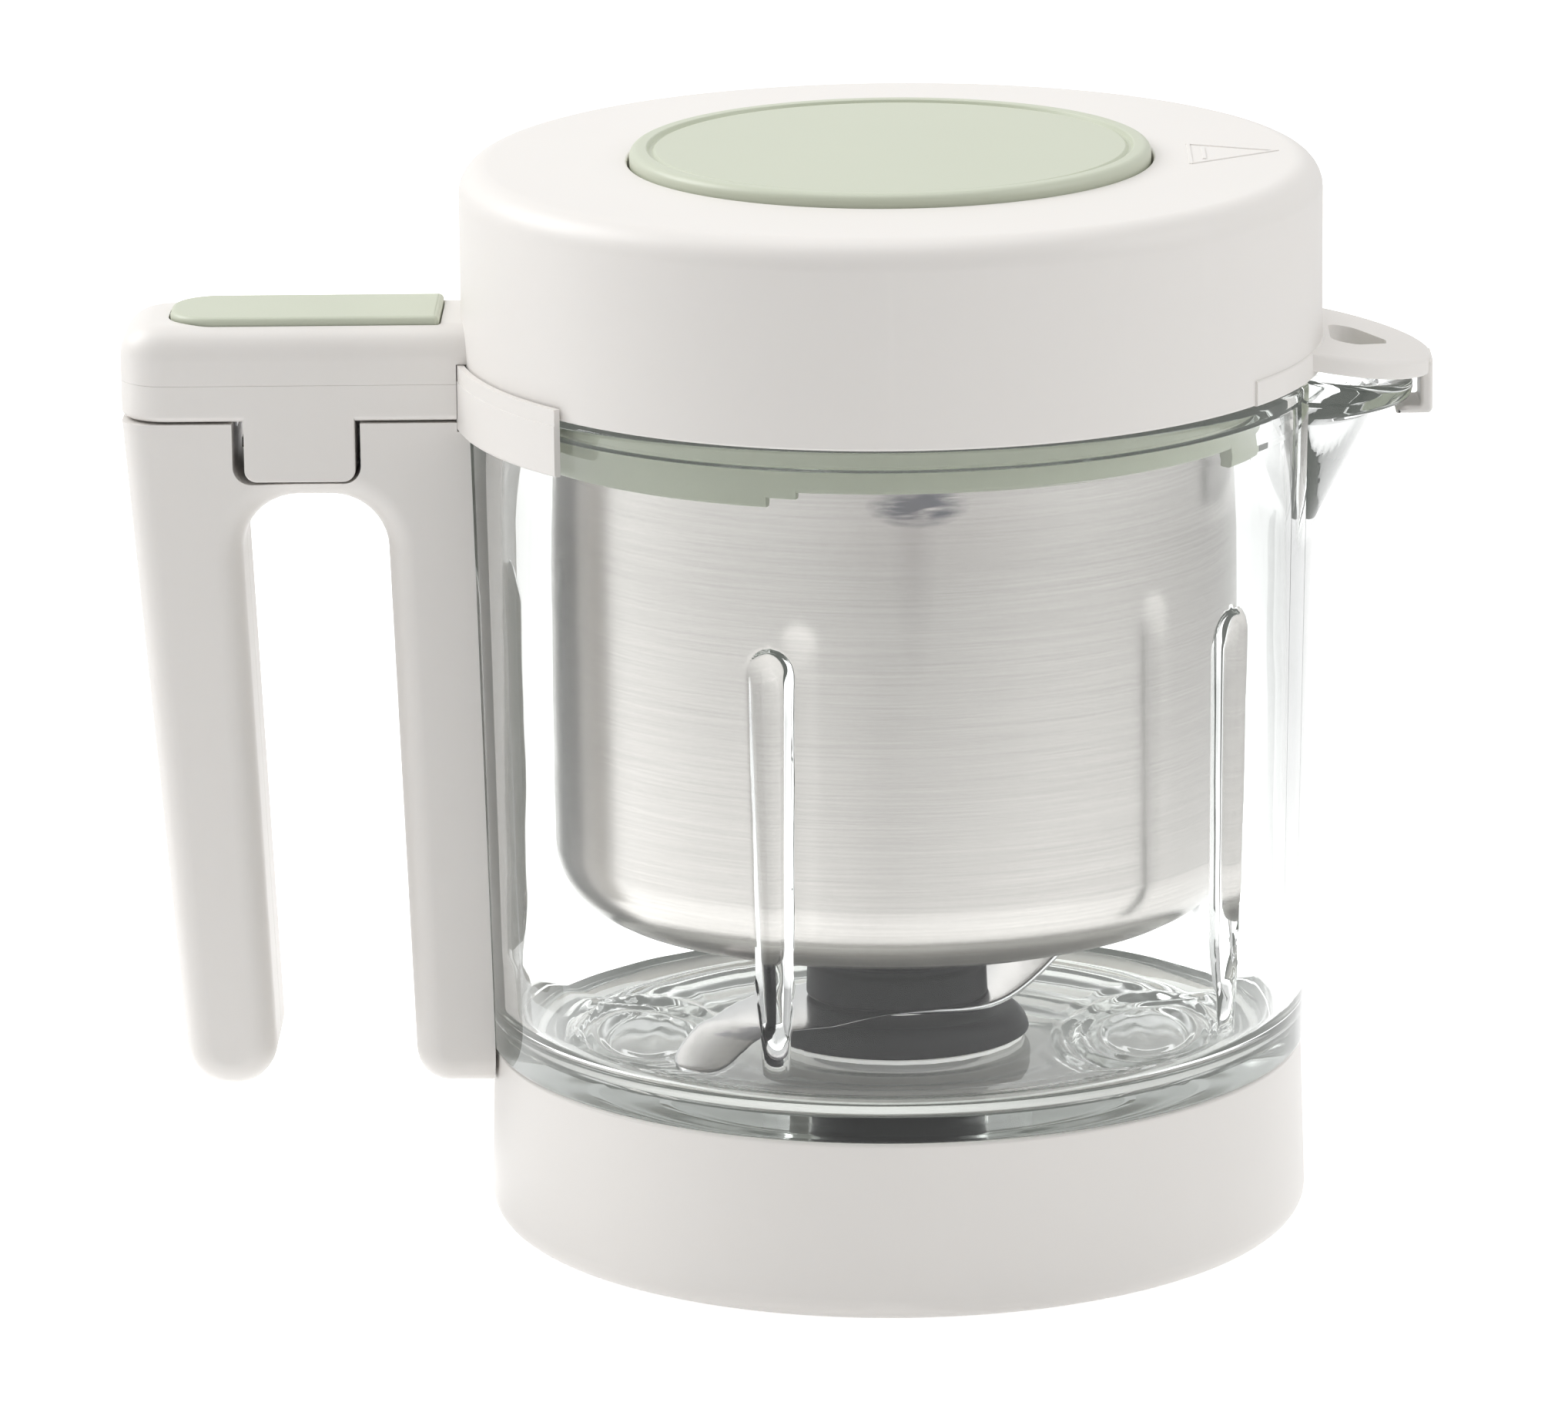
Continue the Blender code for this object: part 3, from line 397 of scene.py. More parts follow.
def blob(tree, coords, centre, reach):
    """1 at a point, falling to 0 at a reach along each axis, in mm about the bowl's axis."""
    mapping = tree.nodes.new("ShaderNodeMapping")
    scale = [1 / (r * MM) for r in reach]
    place = ((centre[0] + AXIS_X) * MM, centre[1] * MM, centre[2] * MM)
    set_inputs(mapping, {"Scale": scale, "Location": [-p * k for p, k in zip(place, scale)]})
    tree.links.new(coords, mapping.inputs["Vector"])
    gradient = tree.nodes.new("ShaderNodeTexGradient")
    gradient.gradient_type = "SPHERICAL"
    tree.links.new(mapping.outputs["Vector"], gradient.inputs["Vector"])
    return gradient.outputs["Color"]


def brushed_steel():
    """Stainless sheet brushed round the cup, with a blue weld tint high on its front."""
    material, tree, shader = new_material("brushed_steel")
    coords = object_coords(tree)
    streaks = noise(tree, coords, 1, 4, stretch=(30, 30, 2200))
    broad = noise(tree, coords, 1, 2, stretch=(14, 14, 260))
    colour = mixed(tree, streaks, (0.50, 0.478, 0.462), (0.64, 0.612, 0.592))
    halo = combined(tree, "MULTIPLY", blob(tree, coords, (6, -63, 147), (26, 20, 15)), 0.28)
    colour = mixed(tree, halo, colour, (0.46, 0.41, 0.40))
    smear = noise(tree, coords, 1, 2, stretch=(170, 170, 1100))
    core = combined(tree, "MULTIPLY", blob(tree, coords, (4.4, -64, 150.2), (9.5, 12, 4.2)),
                    to_range(tree, smear, -1.2, 3.7))
    colour = mixed(tree, limited(tree, core, 0, 0.85), colour, (0.10, 0.105, 0.13))
    tail = combined(tree, "MULTIPLY", blob(tree, coords, (3.6, -64, 143), (4.5, 12, 26)), 0.25)
    colour = mixed(tree, tail, colour, (0.30, 0.27, 0.27))
    tree.links.new(colour, shader.inputs["Base Color"])
    shader.inputs["Metallic"].default_value = 1.0
    tree.links.new(to_range(tree, broad, 0.20, 0.27), shader.inputs["Roughness"])
    bumped(tree, shader, streaks, 0.22, 0.04 * MM)
    return material


def bright_steel():
    """Stamped and polished steel with fine handling marks and a few dull bluish-grey spots."""
    material, tree, shader = new_material("bright_steel")
    coords = object_coords(tree)
    marks = noise(tree, coords, 1, 3, stretch=(160, 900, 160))
    spots = noise(tree, coords, 95, 2)
    spots = combined(tree, "MULTIPLY", combined(tree, "SUBTRACT", spots, 0.62), 12)
    colour = mixed(tree, marks, (0.82, 0.82, 0.83), (0.88, 0.88, 0.89))
    colour = mixed(tree, limited(tree, spots, 0, 0.7), colour, (0.42, 0.42, 0.50))
    tree.links.new(colour, shader.inputs["Base Color"])
    shader.inputs["Metallic"].default_value = 1.0
    tree.links.new(to_range(tree, marks, 0.12, 0.24), shader.inputs["Roughness"])
    bumped(tree, shader, marks, 0.06, 0.03 * MM)
    return material


def soft_silicone():
    """Pale silicone with a faint glow, because little light reaches the seals."""
    material, tree, shader = new_material("silicone")
    coords = object_coords(tree)
    fine = noise(tree, coords, 700, 2)
    tree.links.new(mixed(tree, fine, (0.80, 0.80, 0.78), (0.86, 0.86, 0.84)),
                   shader.inputs["Base Color"])
    tree.links.new(to_range(tree, fine, 0.5, 0.62), shader.inputs["Roughness"])
    set_inputs(shader, {"Subsurface Weight": 0.2, "Subsurface Radius": (0.002, 0.002, 0.002),
                        "Emission Color": (1.0, 1.0, 0.97, 1), "Emission Strength": 0.35})
    bumped(tree, shader, fine, 0.1, 0.05 * MM)
    return material


def sintered_bronze():
    """Porous bronze of the bushes."""
    material, tree, shader = new_material("sintered_bronze")
    coords = object_coords(tree)
    pores = noise(tree, coords, 1800, 3)
    tree.links.new(mixed(tree, pores, (0.30, 0.20, 0.10), (0.56, 0.40, 0.21)),
                   shader.inputs["Base Color"])
    shader.inputs["Metallic"].default_value = 1.0
    tree.links.new(to_range(tree, pores, 0.35, 0.5), shader.inputs["Roughness"])
    bumped(tree, shader, pores, 0.3, 0.05 * MM)
    return material


WHITE = moulded_plastic("white_plastic", (0.80, 0.775, 0.745), 0.42)
GREEN = moulded_plastic("sage_plastic", (0.565, 0.598, 0.483), 0.40)
GREY = moulded_plastic("dark_grey_plastic", (0.016, 0.016, 0.018), 0.42, 0.01, 0.13)
GLASS = clear_glass()
BRUSHED = brushed_steel()
BRIGHT = bright_steel()
SILICONE = soft_silicone()
BRONZE = sintered_bronze()
SLOTS = {"white_plastic": WHITE, "sage_plastic": GREEN, "dark_grey_plastic": GREY, "glass": GLASS,
         "brushed_steel": BRUSHED, "bright_steel": BRIGHT, "silicone": SILICONE, "bronze": BRONZE}


# ---------------------------------------------------------------- glass bowl

RIM_Z, RIM_R = GLASS_HIGH.z, 79.5
HOLE_R, HOLE_TOP = 16.6, GLASS_LOW.z + 6.5     # hole in the floor for the blade seat
FLOOR_IN, FLOOR_OUT = 34.8, 36.8               # floor's height at radius 30 and at 58
DISH_X, DISH_Y = 47, -6                        # middle of the pressed dish on each side
SPOUT_WIDTH = radians(15.5)                    # half the angle that the spout takes up
SPOUT_REACH = GLASS_HIGH.x - RIM_R
SPOUT_DIP = 3.8
RIB_ANGLES = [radians(a) for a in (36, 108, 180, 252.6, 324)]
RIB_HALF = radians(3.5)
RIB_DEPTH = 3.1
RIB_LOW, RIB_HIGH = 46.0, 125.6
INNER_LEVELS = [134, 130, 127] + [126 - 0.45 * i for i in range(16)] \
    + [118 - 6 * i for i in range(8)] + [72 - 1.5 * i for i in range(13)]
FLOOR_RADII = [63.6 - 0.8 * i for i in range(46)]


def angle_from(angle, centre):
    """Signed distance between two angles, within half a turn."""
    return (angle - centre + pi) % (2 * pi) - pi


def spout_share(angle):
    """How far the wall is drawn out into the spout, from 0 to 1 at the spout's middle."""
    away = abs(angle_from(angle, 0)) / SPOUT_WIDTH
    return 0.0 if away >= 1 else (1 - away ** 2) ** 0.75


def rib_depth(angle, z):
    """How far a rib stands in from the wall: domed at its top, tapering to its foot."""
    side = min((angle_from(angle, rib) for rib in RIB_ANGLES), key=abs) / RIB_HALF
    half_mm = RIB_HALF * 73
    top = (RIB_HIGH - z) / half_mm
    foot = (z - RIB_LOW) / 24
    if top <= 0 or foot <= 0:
        return 0.0
    width = 0.72 + 0.28 * min(1, (z - RIB_LOW) / (RIB_HIGH - RIB_LOW))
    for end in (top, foot):
        if end < 1:
            width *= sqrt(1 - (1 - end) ** 2)
    if abs(side) >= width:
        return 0.0
    ease = min(1, top / 1.6) ** 0.5 * min(1, foot * 1.5) ** 0.5
    return RIB_DEPTH * ease * (1 - (side / width) ** 2) ** 0.75


def faded(value, start, length):
    """0 at a start, rising to 1 over a length, which is negative where it rises downward."""
    return max(0.0, min(1.0, (value - start) / length))


def floor_wave(angle, r):
    """Height of the pressed pattern on the floor: an oval dish on each side, ripples and rings."""
    x, y = r * cos(angle), r * sin(angle)
    height = 0.0
    for middle in (-DISH_X, DISH_X):
        d = hypot((x - middle) / 9.0, (y - DISH_Y) / 19)
        height -= 1.8 * exp(-(d / 0.85) ** 4)
        height += 0.8 * cos(2 * pi * (d - 1) / 0.42) * exp(-((d - 1.5) / 0.55) ** 2)
    pattern = faded(r, 27, 6) * faded(r, 68, -9) * height
    rings = faded(r, 56, 3) * faded(r, 67, -3)
    return pattern + 0.35 * rings * cos(2 * pi * r / 3.6)


def glass_section(angle):
    """Closed section of the glass at one angle from +X."""
    spout = spout_share(angle)
    reach = SPOUT_REACH * spout
    dip = SPOUT_DIP * spout
    underside = GLASS_LOW.z
    section = [(HOLE_R, underside)]
    for i in range(31):
        section.append((24 + 1.5 * i, underside + 0.17 * (1 - cos(2 * pi * i / 6))))
    section += rounded([
        (70.5, underside, 0),
        (73.0, underside + 2, 0),
        (73.0, BASE_TOP + 0.1, 0),
        (77.0, BASE_TOP + 0.3, 0.8),
        (78.95, 137.0 - 3 * spout, 3.0),
        (79.3 + 0.62 * reach, 154.7, 1.2),
        (79.4 + 0.96 * reach, 155.9, 1.2),
        (RIM_R + reach, RIM_Z - dip, 1.4),
        (75.6 + 0.80 * reach, RIM_Z - 1.1 * dip, 1.0),
        (75.3 + 0.60 * reach, 159.2 - 2.6 * spout, 0.5),
        (73.9 + 0.56 * reach, 158.8 - 2.9 * spout, 0.6),
        (73.5 + 0.10 * reach, 141.0, 0)], 4)
    for z in INNER_LEVELS:
        section.append((73.4 - 1.1 * (134 - z) / 80 - rib_depth(angle, z), z))
    corner = rounded([(72.1, 52.0, 0), (71.6, 37.6, 7.5), (58.0, 36.9, 0)], 8)
    section += [(r, z) for r, z in corner if r > FLOOR_RADII[0] + 0.3]
    for r in FLOOR_RADII:
        slope = FLOOR_IN + (FLOOR_OUT - FLOOR_IN) * (r - 30) / 28
        section.append((r, slope + floor_wave(angle, r)))
    section.append((HOLE_R, HOLE_TOP))
    return section


def glass_angles():
    """Angles of the glass sections, close together over the ribs and the spout."""
    angles = {round(2 * pi * i / 210, 5) for i in range(210)}
    for rib in RIB_ANGLES:
        angles = {a for a in angles if abs(angle_from(a, rib)) > 1.3 * RIB_HALF}
        angles |= {round(rib + RIB_HALF * 1.2 * i / 15, 5) for i in range(-15, 16)}
    angles = {a for a in angles if abs(angle_from(a, 0)) > 1.02 * SPOUT_WIDTH}
    spout = [SPOUT_WIDTH * sin(pi / 2 * i / 18) for i in range(-18, 19)]
    angles |= {round(a % (2 * pi), 5) for a in spout}
    return sorted(angles)


def make_glass():
    """Glass jug, skinned through its sections."""
    rings = []
    for a in glass_angles():
        rings.append([(r * cos(a), r * sin(a), z) for r, z in glass_section(a)])
    jug = new_piece("glass_jug", lofted(rings, closed=True), GLASS, "bowl", ["glass_bowl"], 55)


# ---------------------------------------------------------------- base, drive and blades

def make_base():
    """White ring under the glass, with a ribbed shelf and lugs that lock it to a motor base."""
    shelf_low, shelf_high, wall_r = 22.4, 24.9, 73.5
    skirt = new_piece("base_skirt", turned([
        (BASE_R - 0.8, BASE_TOP, 0.7), (BASE_R, 4.6, 0), (BASE_R, 0, 4.1), (70.5, 0, 0.5),
        (70.5, 2.0, 0.5), (wall_r, 5.0, 1.5), (wall_r, shelf_low, 1.0), (17.0, shelf_low, 0.3),
        (17.0, shelf_high, 0.3), (wall_r, shelf_high, 0.5), (wall_r, BASE_TOP, 0.4)],
        arc_steps=6), WHITE, "bowl", ["base_ring"])
    for i in range(3):
        middle = 2 * pi * i / 3 + pi / 6
        lug = [(70.9, 8.0, 0.5), (74.5, 8.0, 0), (74.5, 12.0, 0), (70.9, 11.0, 0.5)]
        cut(skirt, sector(lug, middle - radians(9), middle + radians(9), 12), "UNION")
    ribs = 24
    for i in range(ribs):
        a = 2 * pi * (i + 0.5) / ribs
        rib = block((34, wall_r - 0.5), (-0.7, 0.7), (shelf_low - 1.5, shelf_low + 0.4))
        bmesh.ops.rotate(rib, verts=rib.verts, cent=(0, 0, 0), matrix=Matrix.Rotation(a, 3, "Z"))
        cut(skirt, rib, "UNION")
    even_shading(skirt)


def make_hub():
    """Flared seat clamped through the glass, and the hub that turns above it."""
    seat = new_piece("blade_seat_fine", turned([
        (7.0, 10.5, 0.3), (16.2, 10.5, 0.8), (16.2, 35.8, 0), (24.7, 35.8, 0.6),
        (24.7, 42.3, 4.6), (9.3, 42.3, 0.3), (9.3, 38.8, 0), (7.0, 38.8, 0.3)], MEDIUM, 6),
        GREY, "bowl", ["blade_seat"])
    even_shading(seat)
    hub = new_piece("blade_hub_fine", turned([
        (0, 58.4, 0), (0, 56.3, 0), (4.2, 56.3, 0), (4.2, 44.7, 0), (16.9, 44.7, 0.5),
        (16.7, 50.2, 0.6), (15.6, 51.0, 0.5), (15.6, 51.8, 0.5), (16.7, 52.6, 0.6),
        (16.7, 58.4, 3.0)], MEDIUM, 6), GREY, "blades", ["blade_hub"])
    even_shading(hub)


# Low wing outward from the hub: rear edge x, y, front edge x, y, its drop and the other's rise
BLADE_WING = [
    (-4.8, 11.4, -1.0, -12.4, 0, 0), (-12.0, 12.0, -5.5, -15.8, 0, 0),
    (-19.5, 8.4, -11.2, -21.8, 0, 0.3), (-25.8, 2.4, -17.4, -26.3, 0, 3.4),
    (-31.2, -5.5, -21.8, -27.6, 0.5, 7.2), (-35.4, -15.0, -25.4, -29.8, 1.3, 9.8),
    (-38.6, -26.0, -28.0, -35.0, 2.3, 11.8), (-40.6, -36.0, -30.2, -42.0, 3.2, 13.2),
    (-40.4, -42.0, -33.0, -46.5, 3.6, 13.8), (-39.0, -45.4, -36.4, -47.2, 3.7, 14.0)]


def blade_ring(edge_a, edge_b, height):
    """Section across a wing, with a long hollow-ground bevel towards its cutting edge b."""
    a, b = Vector((*edge_a, height)), Vector((*edge_b, height))
    across = (b - a).normalized()
    width = (b - a).length
    bevel = min(5.5, width * 0.4)
    thick = Vector((0, 0, 1.35))
    return [a + thick * 0.1, a + across * 0.3, b - across * 0.3, b + thick * 0.25,
            b + thick * 0.45, b - across * bevel + thick, a + across * 0.3 + thick,
            a + thick * 0.9]


def make_blade():
    """Steel blade of a low wing and its half turn, which rises."""
    low = HUB_LOW - 1.8
    rings = []
    for x1, y1, x2, y2, drop, rise in reversed(BLADE_WING):
        rings.append(blade_ring((x1, y1), (x2, y2), low - drop))
    turned_rings = []
    for x1, y1, x2, y2, drop, rise in BLADE_WING:
        ring = blade_ring((-x1, -y1), (-x2, -y2), low + rise)
        turned_rings.append([ring[k] for k in (3, 2, 1, 0, 7, 6, 5, 4)])
    blade = new_piece("blade_wings", lofted(rings + turned_rings, closed=False), BRIGHT, "blades",
                      ["blade_plate"], 60)
    smooth = blade.modifiers.new("smooth", "SUBSURF")
    smooth.levels = 2
    smooth.render_levels = 2


# ---------------------------------------------------------------- steam basket

def steam_holes(height, pitch=6.2, hole_r=1.5, field_r=44):
    """Rods for a round field of holes in staggered rows."""
    holes = bmesh.new()
    for row in range(-8, 9):
        for column in range(-8, 9):
            x = (column + (row % 2) / 2) * pitch
            y = row * pitch * 0.866
            if hypot(x, y) <= field_r:
                place = Matrix.Translation((x * MM, y * MM, height * MM))
                bmesh.ops.create_cone(holes, cap_ends=True, segments=12, radius1=hole_r * MM,
                                      radius2=hole_r * MM, depth=4 * MM, matrix=place)
    return holes


def make_basket():
    """Steel cup with holes in its floor, and the green ring it hangs from."""
    top, low, sheet = BASKET_HIGH.z, BASKET_LOW.z, 0.9
    cup = new_piece("steam_cup", turned([
        (67.2, top, 0.3), (67.2, top - sheet, 0.3), (64.4, top - sheet, 0.6), (63.3, low, 14.0),
        (0, low, 0), (0, low + sheet, 0), (62.4, low + sheet, 13.1), (63.5, top, 0.8)], FINE, 8),
        BRUSHED, "bowl", ["steam_basket"])
    cut(cup, steam_holes(low + 0.5))
    even_shading(cup)

    ring = new_piece("basket_rim", turned([
        (62.5, RING_HIGH.z - 1.2, 0.5), (64.5, RING_HIGH.z, 0.6), (74.8, RING_HIGH.z, 0.8),
        (74.8, 159.4, 0.5), (72.2, 159.4, 0.3), (71.9, 154.4, 0.7), (69.8, 154.4, 0.5),
        (69.6, 158.9, 0), (62.5, 158.9, 0.4)]), GREEN, "bowl", ["basket_ring"])
    tab = [(69.9, RING_LOW.z, 0.5), (71.9, RING_LOW.z, 0.6), (72.0, 157.0, 0), (69.8, 157.0, 0)]
    step = [(r, max(z, RING_LOW.z + 1.7), radius) for r, z, radius in tab]
    for section, half_angle in ((tab, radians(72)), (step, radians(76.3))):
        cut(ring, sector(section, pi - half_angle, pi + half_angle, 60), "UNION")
    cut(ring, sector(tab, radians(-34), radians(-26), 6), "UNION")
    even_shading(ring)


# ---------------------------------------------------------------- lid and cap

def make_lid():
    """Deep lid with a raised pointer, the liner under it and the seal on the glass."""
    top, wall, hole_r, ledge = LID_HIGH.z, 2.5, 48.75, CAP_LOW.z + 9.5
    shell = new_piece("lid_cover", turned([
        (LID_R, LID_LOW.z, 0.5), (LID_R, top, 5.6), (hole_r, top, 0.5), (hole_r, ledge, 0.3),
        (51.0, ledge, 0.3), (51.0, top - wall, 0.5), (LID_R - wall, top - wall, 3.4),
        (LID_R - wall, LID_LOW.z, 0.5)], arc_steps=8), WHITE, "lid", ["lid_shell"])
    corners = [Vector(p) for p in ((55.4, -9.3), (71.5, 2.5), (55.4, 9.4))]
    lines = []
    for i in range(3):
        along = (corners[i] - corners[i - 1]).normalized() * 0.35
        aside = Vector((-along.y, along.x))
        lines.append([corners[i - 1] - along - aside, corners[i] + along - aside,
                      corners[i] + along + aside, corners[i - 1] - along + aside])
    lines.append([(57.6, -5.0), (58.4, -5.0), (58.4, 5.5), (57.6, 5.5)])
    for line in lines:
        cut(shell, soft_prism(line, top - 0.3, top + 0.22, HAIR, 0.15, steps=2), "UNION")
    even_shading(shell)
    liner = new_piece("lid_inner", turned([
        (77.1, 167.0, 0.5), (77.1, 169.0, 0.3), (44.9, 169.0, 1.0), (44.9, 194.6, 0.5),
        (50.3, 194.6, 0.3), (50.3, 196.7, 0.3), (42.6, 196.7, 0.5), (42.6, 167.0, 0.8),
        (58.0, 167.0, 1.0), (58.0, 158.4, 0.5), (60.0, 158.4, 0.5), (60.0, 167.0, 1.0)]),
        WHITE, "lid", ["lid_liner"])
    even_shading(liner)
    seal = new_piece("lid_seal_fine", turned([
        (73.0, 164.4, 0.3), (75.2, 163.7, 0.3), (77.1, 163.9, 0.3), (77.1, 166.7, 0.4),
        (73.0, 166.7, 0.4)]), SILICONE, "lid", ["lid_seal"])
    even_shading(seal)


def make_cap():
    """Green cap with a grooved rim, and a plug with a groove for its seal."""
    top = CAP_HIGH.z
    cap = new_piece("filling_cap", turned([
        (0, top - 0.35, 0), (0, top - 2.6, 0), (39.6, top - 2.6, 0.5), (39.6, 187.5, 0.5),
        (41.8, 187.5, 0.6), (41.8, 190.1, 0.1), (40.6, 190.1, 0.1), (40.6, 192.9, 0.1),
        (41.8, 192.9, 0.1), (41.8, top - 3.2, 0.5), (45.9, top - 3.2, 0.5), (45.9, 197.0, 0.3),
        (CAP_HIGH.y, 197.0, 0.3), (CAP_HIGH.y, top, 1.6), (45.1, top, 0.4),
        (44.7, top - 0.9, 0.2), (44.1, top - 0.9, 0.2), (43.5, top - 0.35, 0.35)],
        arc_steps=6), GREEN, "cap", ["lid_cap"])
    even_shading(cap)


# ---------------------------------------------------------------- handle

def clearance(levels):
    """Solid of revolution through (radius, height) levels, closed on the axis."""
    corners = [(0, levels[0][1], 0)] + [(r, z, 0) for r, z in levels] + [(0, levels[-1][1], 0)]
    return turned(corners, FINE)


def make_grip():
    """Both halves of the grip, with the notch for the latch tab and wells for the screws."""
    top, foot, beyond = GRIP_HIGH.z, 26.9, 10
    lean = (142.8 - 133.3) / (top - foot)
    outline = rounded([
        (-142.8 - lean * beyond, top + beyond, 0), (-133.3, foot, 8.2), (-116.5, foot, 8.2),
        (-121.3, 140.9, 10.5), (-94.1, 140.9, 10.5), (-90.4, 27.3, 6.5), (-66.0, 27.3, 0),
        (-66.0, top + beyond, 0)], 10)
    notch = rounded([(-122.2, 160, 0), (-122.2, 143.6, 3.4), (-98.4, 143.6, 3.4),
                     (-98.4, 160, 0)], 8)
    jug = [(77.1, 20), (77.1, 36), (79.5, 150), (79.6, COLLAR_LOW.z - 0.1),
           (81.85, COLLAR_LOW.z - 0.1), (81.85, 170)]
    across = (-17.0, 17.0)
    for side, name, node in ((-1, "grip_front", "handle_front_shell"),
                             (1, "grip_back", "handle_back_shell")):
        half = soft_prism(outline, 0.03, -GRIP_LOW.y, 0.22, 5.2, axis="Y", steps=7)
        if side < 0:
            bmesh.ops.scale(half, verts=half.verts, vec=(1, -1, 1))
        grip = new_piece(name, half, WHITE, "bowl", [node])
        cut(grip, block((-160, -50), across, (top, top + 20)))
        cut(grip, plain_prism(notch, *across, axis="Y"))
        cut(grip, clearance(jug))
        if side > 0:
            for i in range(4):
                low, high = span(f"handle_screw_{i + 1}")
                x, z = ((low + high) / 2).xz
                r = 3.5
                well = rounded([(x - r, z - r, 3.4), (x + r, z - r, 3.4), (x + r, z + r, 3.4),
                                (x - r, z + r, 3.4)], 8)
                cut(grip, plain_prism(well, 9.0, 17.0, axis="Y"))
        even_shading(grip)


def make_collar():
    """Band round the rim on the handle's side, with a thinner lip at its top."""
    outer, lip = -COLLAR_LOW.x, -COLLAR_LOW.x - 0.12
    inner = outer - 1.4
    low, high = COLLAR_LOW.z, COLLAR_HIGH.z
    half_angle = radians(41.7)
    collar = new_piece("rim_band", sector([
        (inner, low, 0.2), (outer, low, 0.6), (outer, high - 3.0, 0.02), (lip, high - 2.95, 0.02),
        (lip, high, 0.02), (inner, high, 0.02)], pi - half_angle, pi + half_angle, 64),
        WHITE, "bowl", ["rim_collar"])
    soft = collar.modifiers.new("soft edges", "BEVEL")
    soft.width = 0.55 * MM
    soft.segments = 4
    soft.limit_method = "ANGLE"
    soft.angle_limit = radians(60)
    even_shading(collar)


# ---------------------------------------------------------------- lid arm and spout guard

ARM_FLOOR = 155.5
ARM_WALL = 2.3
TAB_LEFT, TAB_RIGHT, TAB_LOW = -120.0, -99.4, 144.1    # latch tab under the arm
LATCH_X, LATCH_Z = -113.5, 162.5                       # axis of the latch lever
BUTTON_TOP = BUTTON_HIGH.z
BUTTON_DEPTH = 6.2
BUTTON_ROOF = 1.9


def arm_outline(right, inset=0.0):
    """Plan of the arm up to its end at the lid, drawn in by an inset."""
    left, half, radius = ARM_LOW.x + inset, ARM_HIGH.y - inset, 9.0 - inset
    return rounded([(left, half, radius), (left, -half, radius), (right, -half, 0),
                    (right, half, 0)], 10)


def button_outline(grow):
    """Plan of the release button, drawn out on all sides."""
    left, right, half = BUTTON_LOW.x - grow, BUTTON_HIGH.x + grow, 10.75 + grow
    return rounded([(left, half, 8.5), (left, -half, 8.5), (right, -half, 0.9),
                    (right, half, 0.9)], 10)


def make_arm():
    """Hollow two-part arm of the lid, with the latch's bearing inside it."""
    lid = [(81.9, 140), (81.9, COLLAR_HIGH.z + 0.15), (LID_R - 0.8, COLLAR_HIGH.z + 0.15),
           (LID_R - 0.8, 180)]
    inside = arm_outline(-83.8, ARM_WALL)
    split = ARM_HIGH.z - 2.8
    lower = new_piece("arm_lower", soft_prism(arm_outline(-60), ARM_FLOOR, split, 1.3, 0.08,
                                              steps=5), WHITE, "lid", ["arm_lower_shell"])
    tab = rounded([(TAB_LEFT, 158.0, 0), (TAB_LEFT, TAB_LOW, 2.3), (TAB_RIGHT, TAB_LOW, 2.3),
                   (TAB_RIGHT, 158.0, 0)], 8)
    cut(lower, soft_prism(tab, -ARM_HIGH.y, ARM_HIGH.y, 0.35, 0.35, axis="Y", steps=3), "UNION")
    cut(lower, plain_prism(inside, ARM_FLOOR + 2, split + 1))
    cut(lower, block((-117.8, -101.6), (-4.2, 4.2), (TAB_LOW + 2.2, ARM_FLOOR + 4)))
    cut(lower, block((TAB_LEFT - 1, -117.0), (-3.6, 3.6), (TAB_LOW + 2.2, 151.6)))
    cut(lower, clearance(lid))
    for near, far in ((-6.4, -4.4), (4.4, 6.4)):
        cut(lower, block((LATCH_X - 2.6, LATCH_X + 2.6), (near, far), (ARM_FLOOR + 1, 165.2)),
            "UNION")
    bore = [(LATCH_X + 1.5 * cos(pi * i / 12), LATCH_Z + 1.5 * sin(pi * i / 12))
            for i in range(24)]
    cut(lower, plain_prism(bore, -8.0, 8.0, axis="Y"))
    even_shading(lower)
    upper = new_piece("arm_upper", soft_prism(arm_outline(-66), split + 0.02, ARM_TOP, 0.08, 6.2,
                                              steps=9), WHITE, "lid", ["arm_upper_shell"])
    cut(upper, plain_prism(inside, split - 1, ARM_TOP - 2.2))
    cut(upper, plain_prism(button_outline(0.3), BUTTON_TOP - BUTTON_DEPTH - 3.0, 176.0))
    cut(upper, clearance(lid))
    even_shading(upper)


def make_button():
    """Hollow release button, with the pusher that works the latch lever."""
    button = new_piece("button_top", soft_prism(button_outline(0), BUTTON_TOP - BUTTON_DEPTH,
                                                BUTTON_TOP, 0.3, 1.0, steps=6),
                       GREEN, "button", ["release_button"])
    cut(button, plain_prism(button_outline(-1.6), BUTTON_TOP - 8, BUTTON_TOP - BUTTON_ROOF))
    cut(button, block((LATCH_X - 13.0, LATCH_X - 11.0), (-2.4, 2.4), (164.0, BUTTON_TOP - 1.0)),
        "UNION")
    even_shading(button)


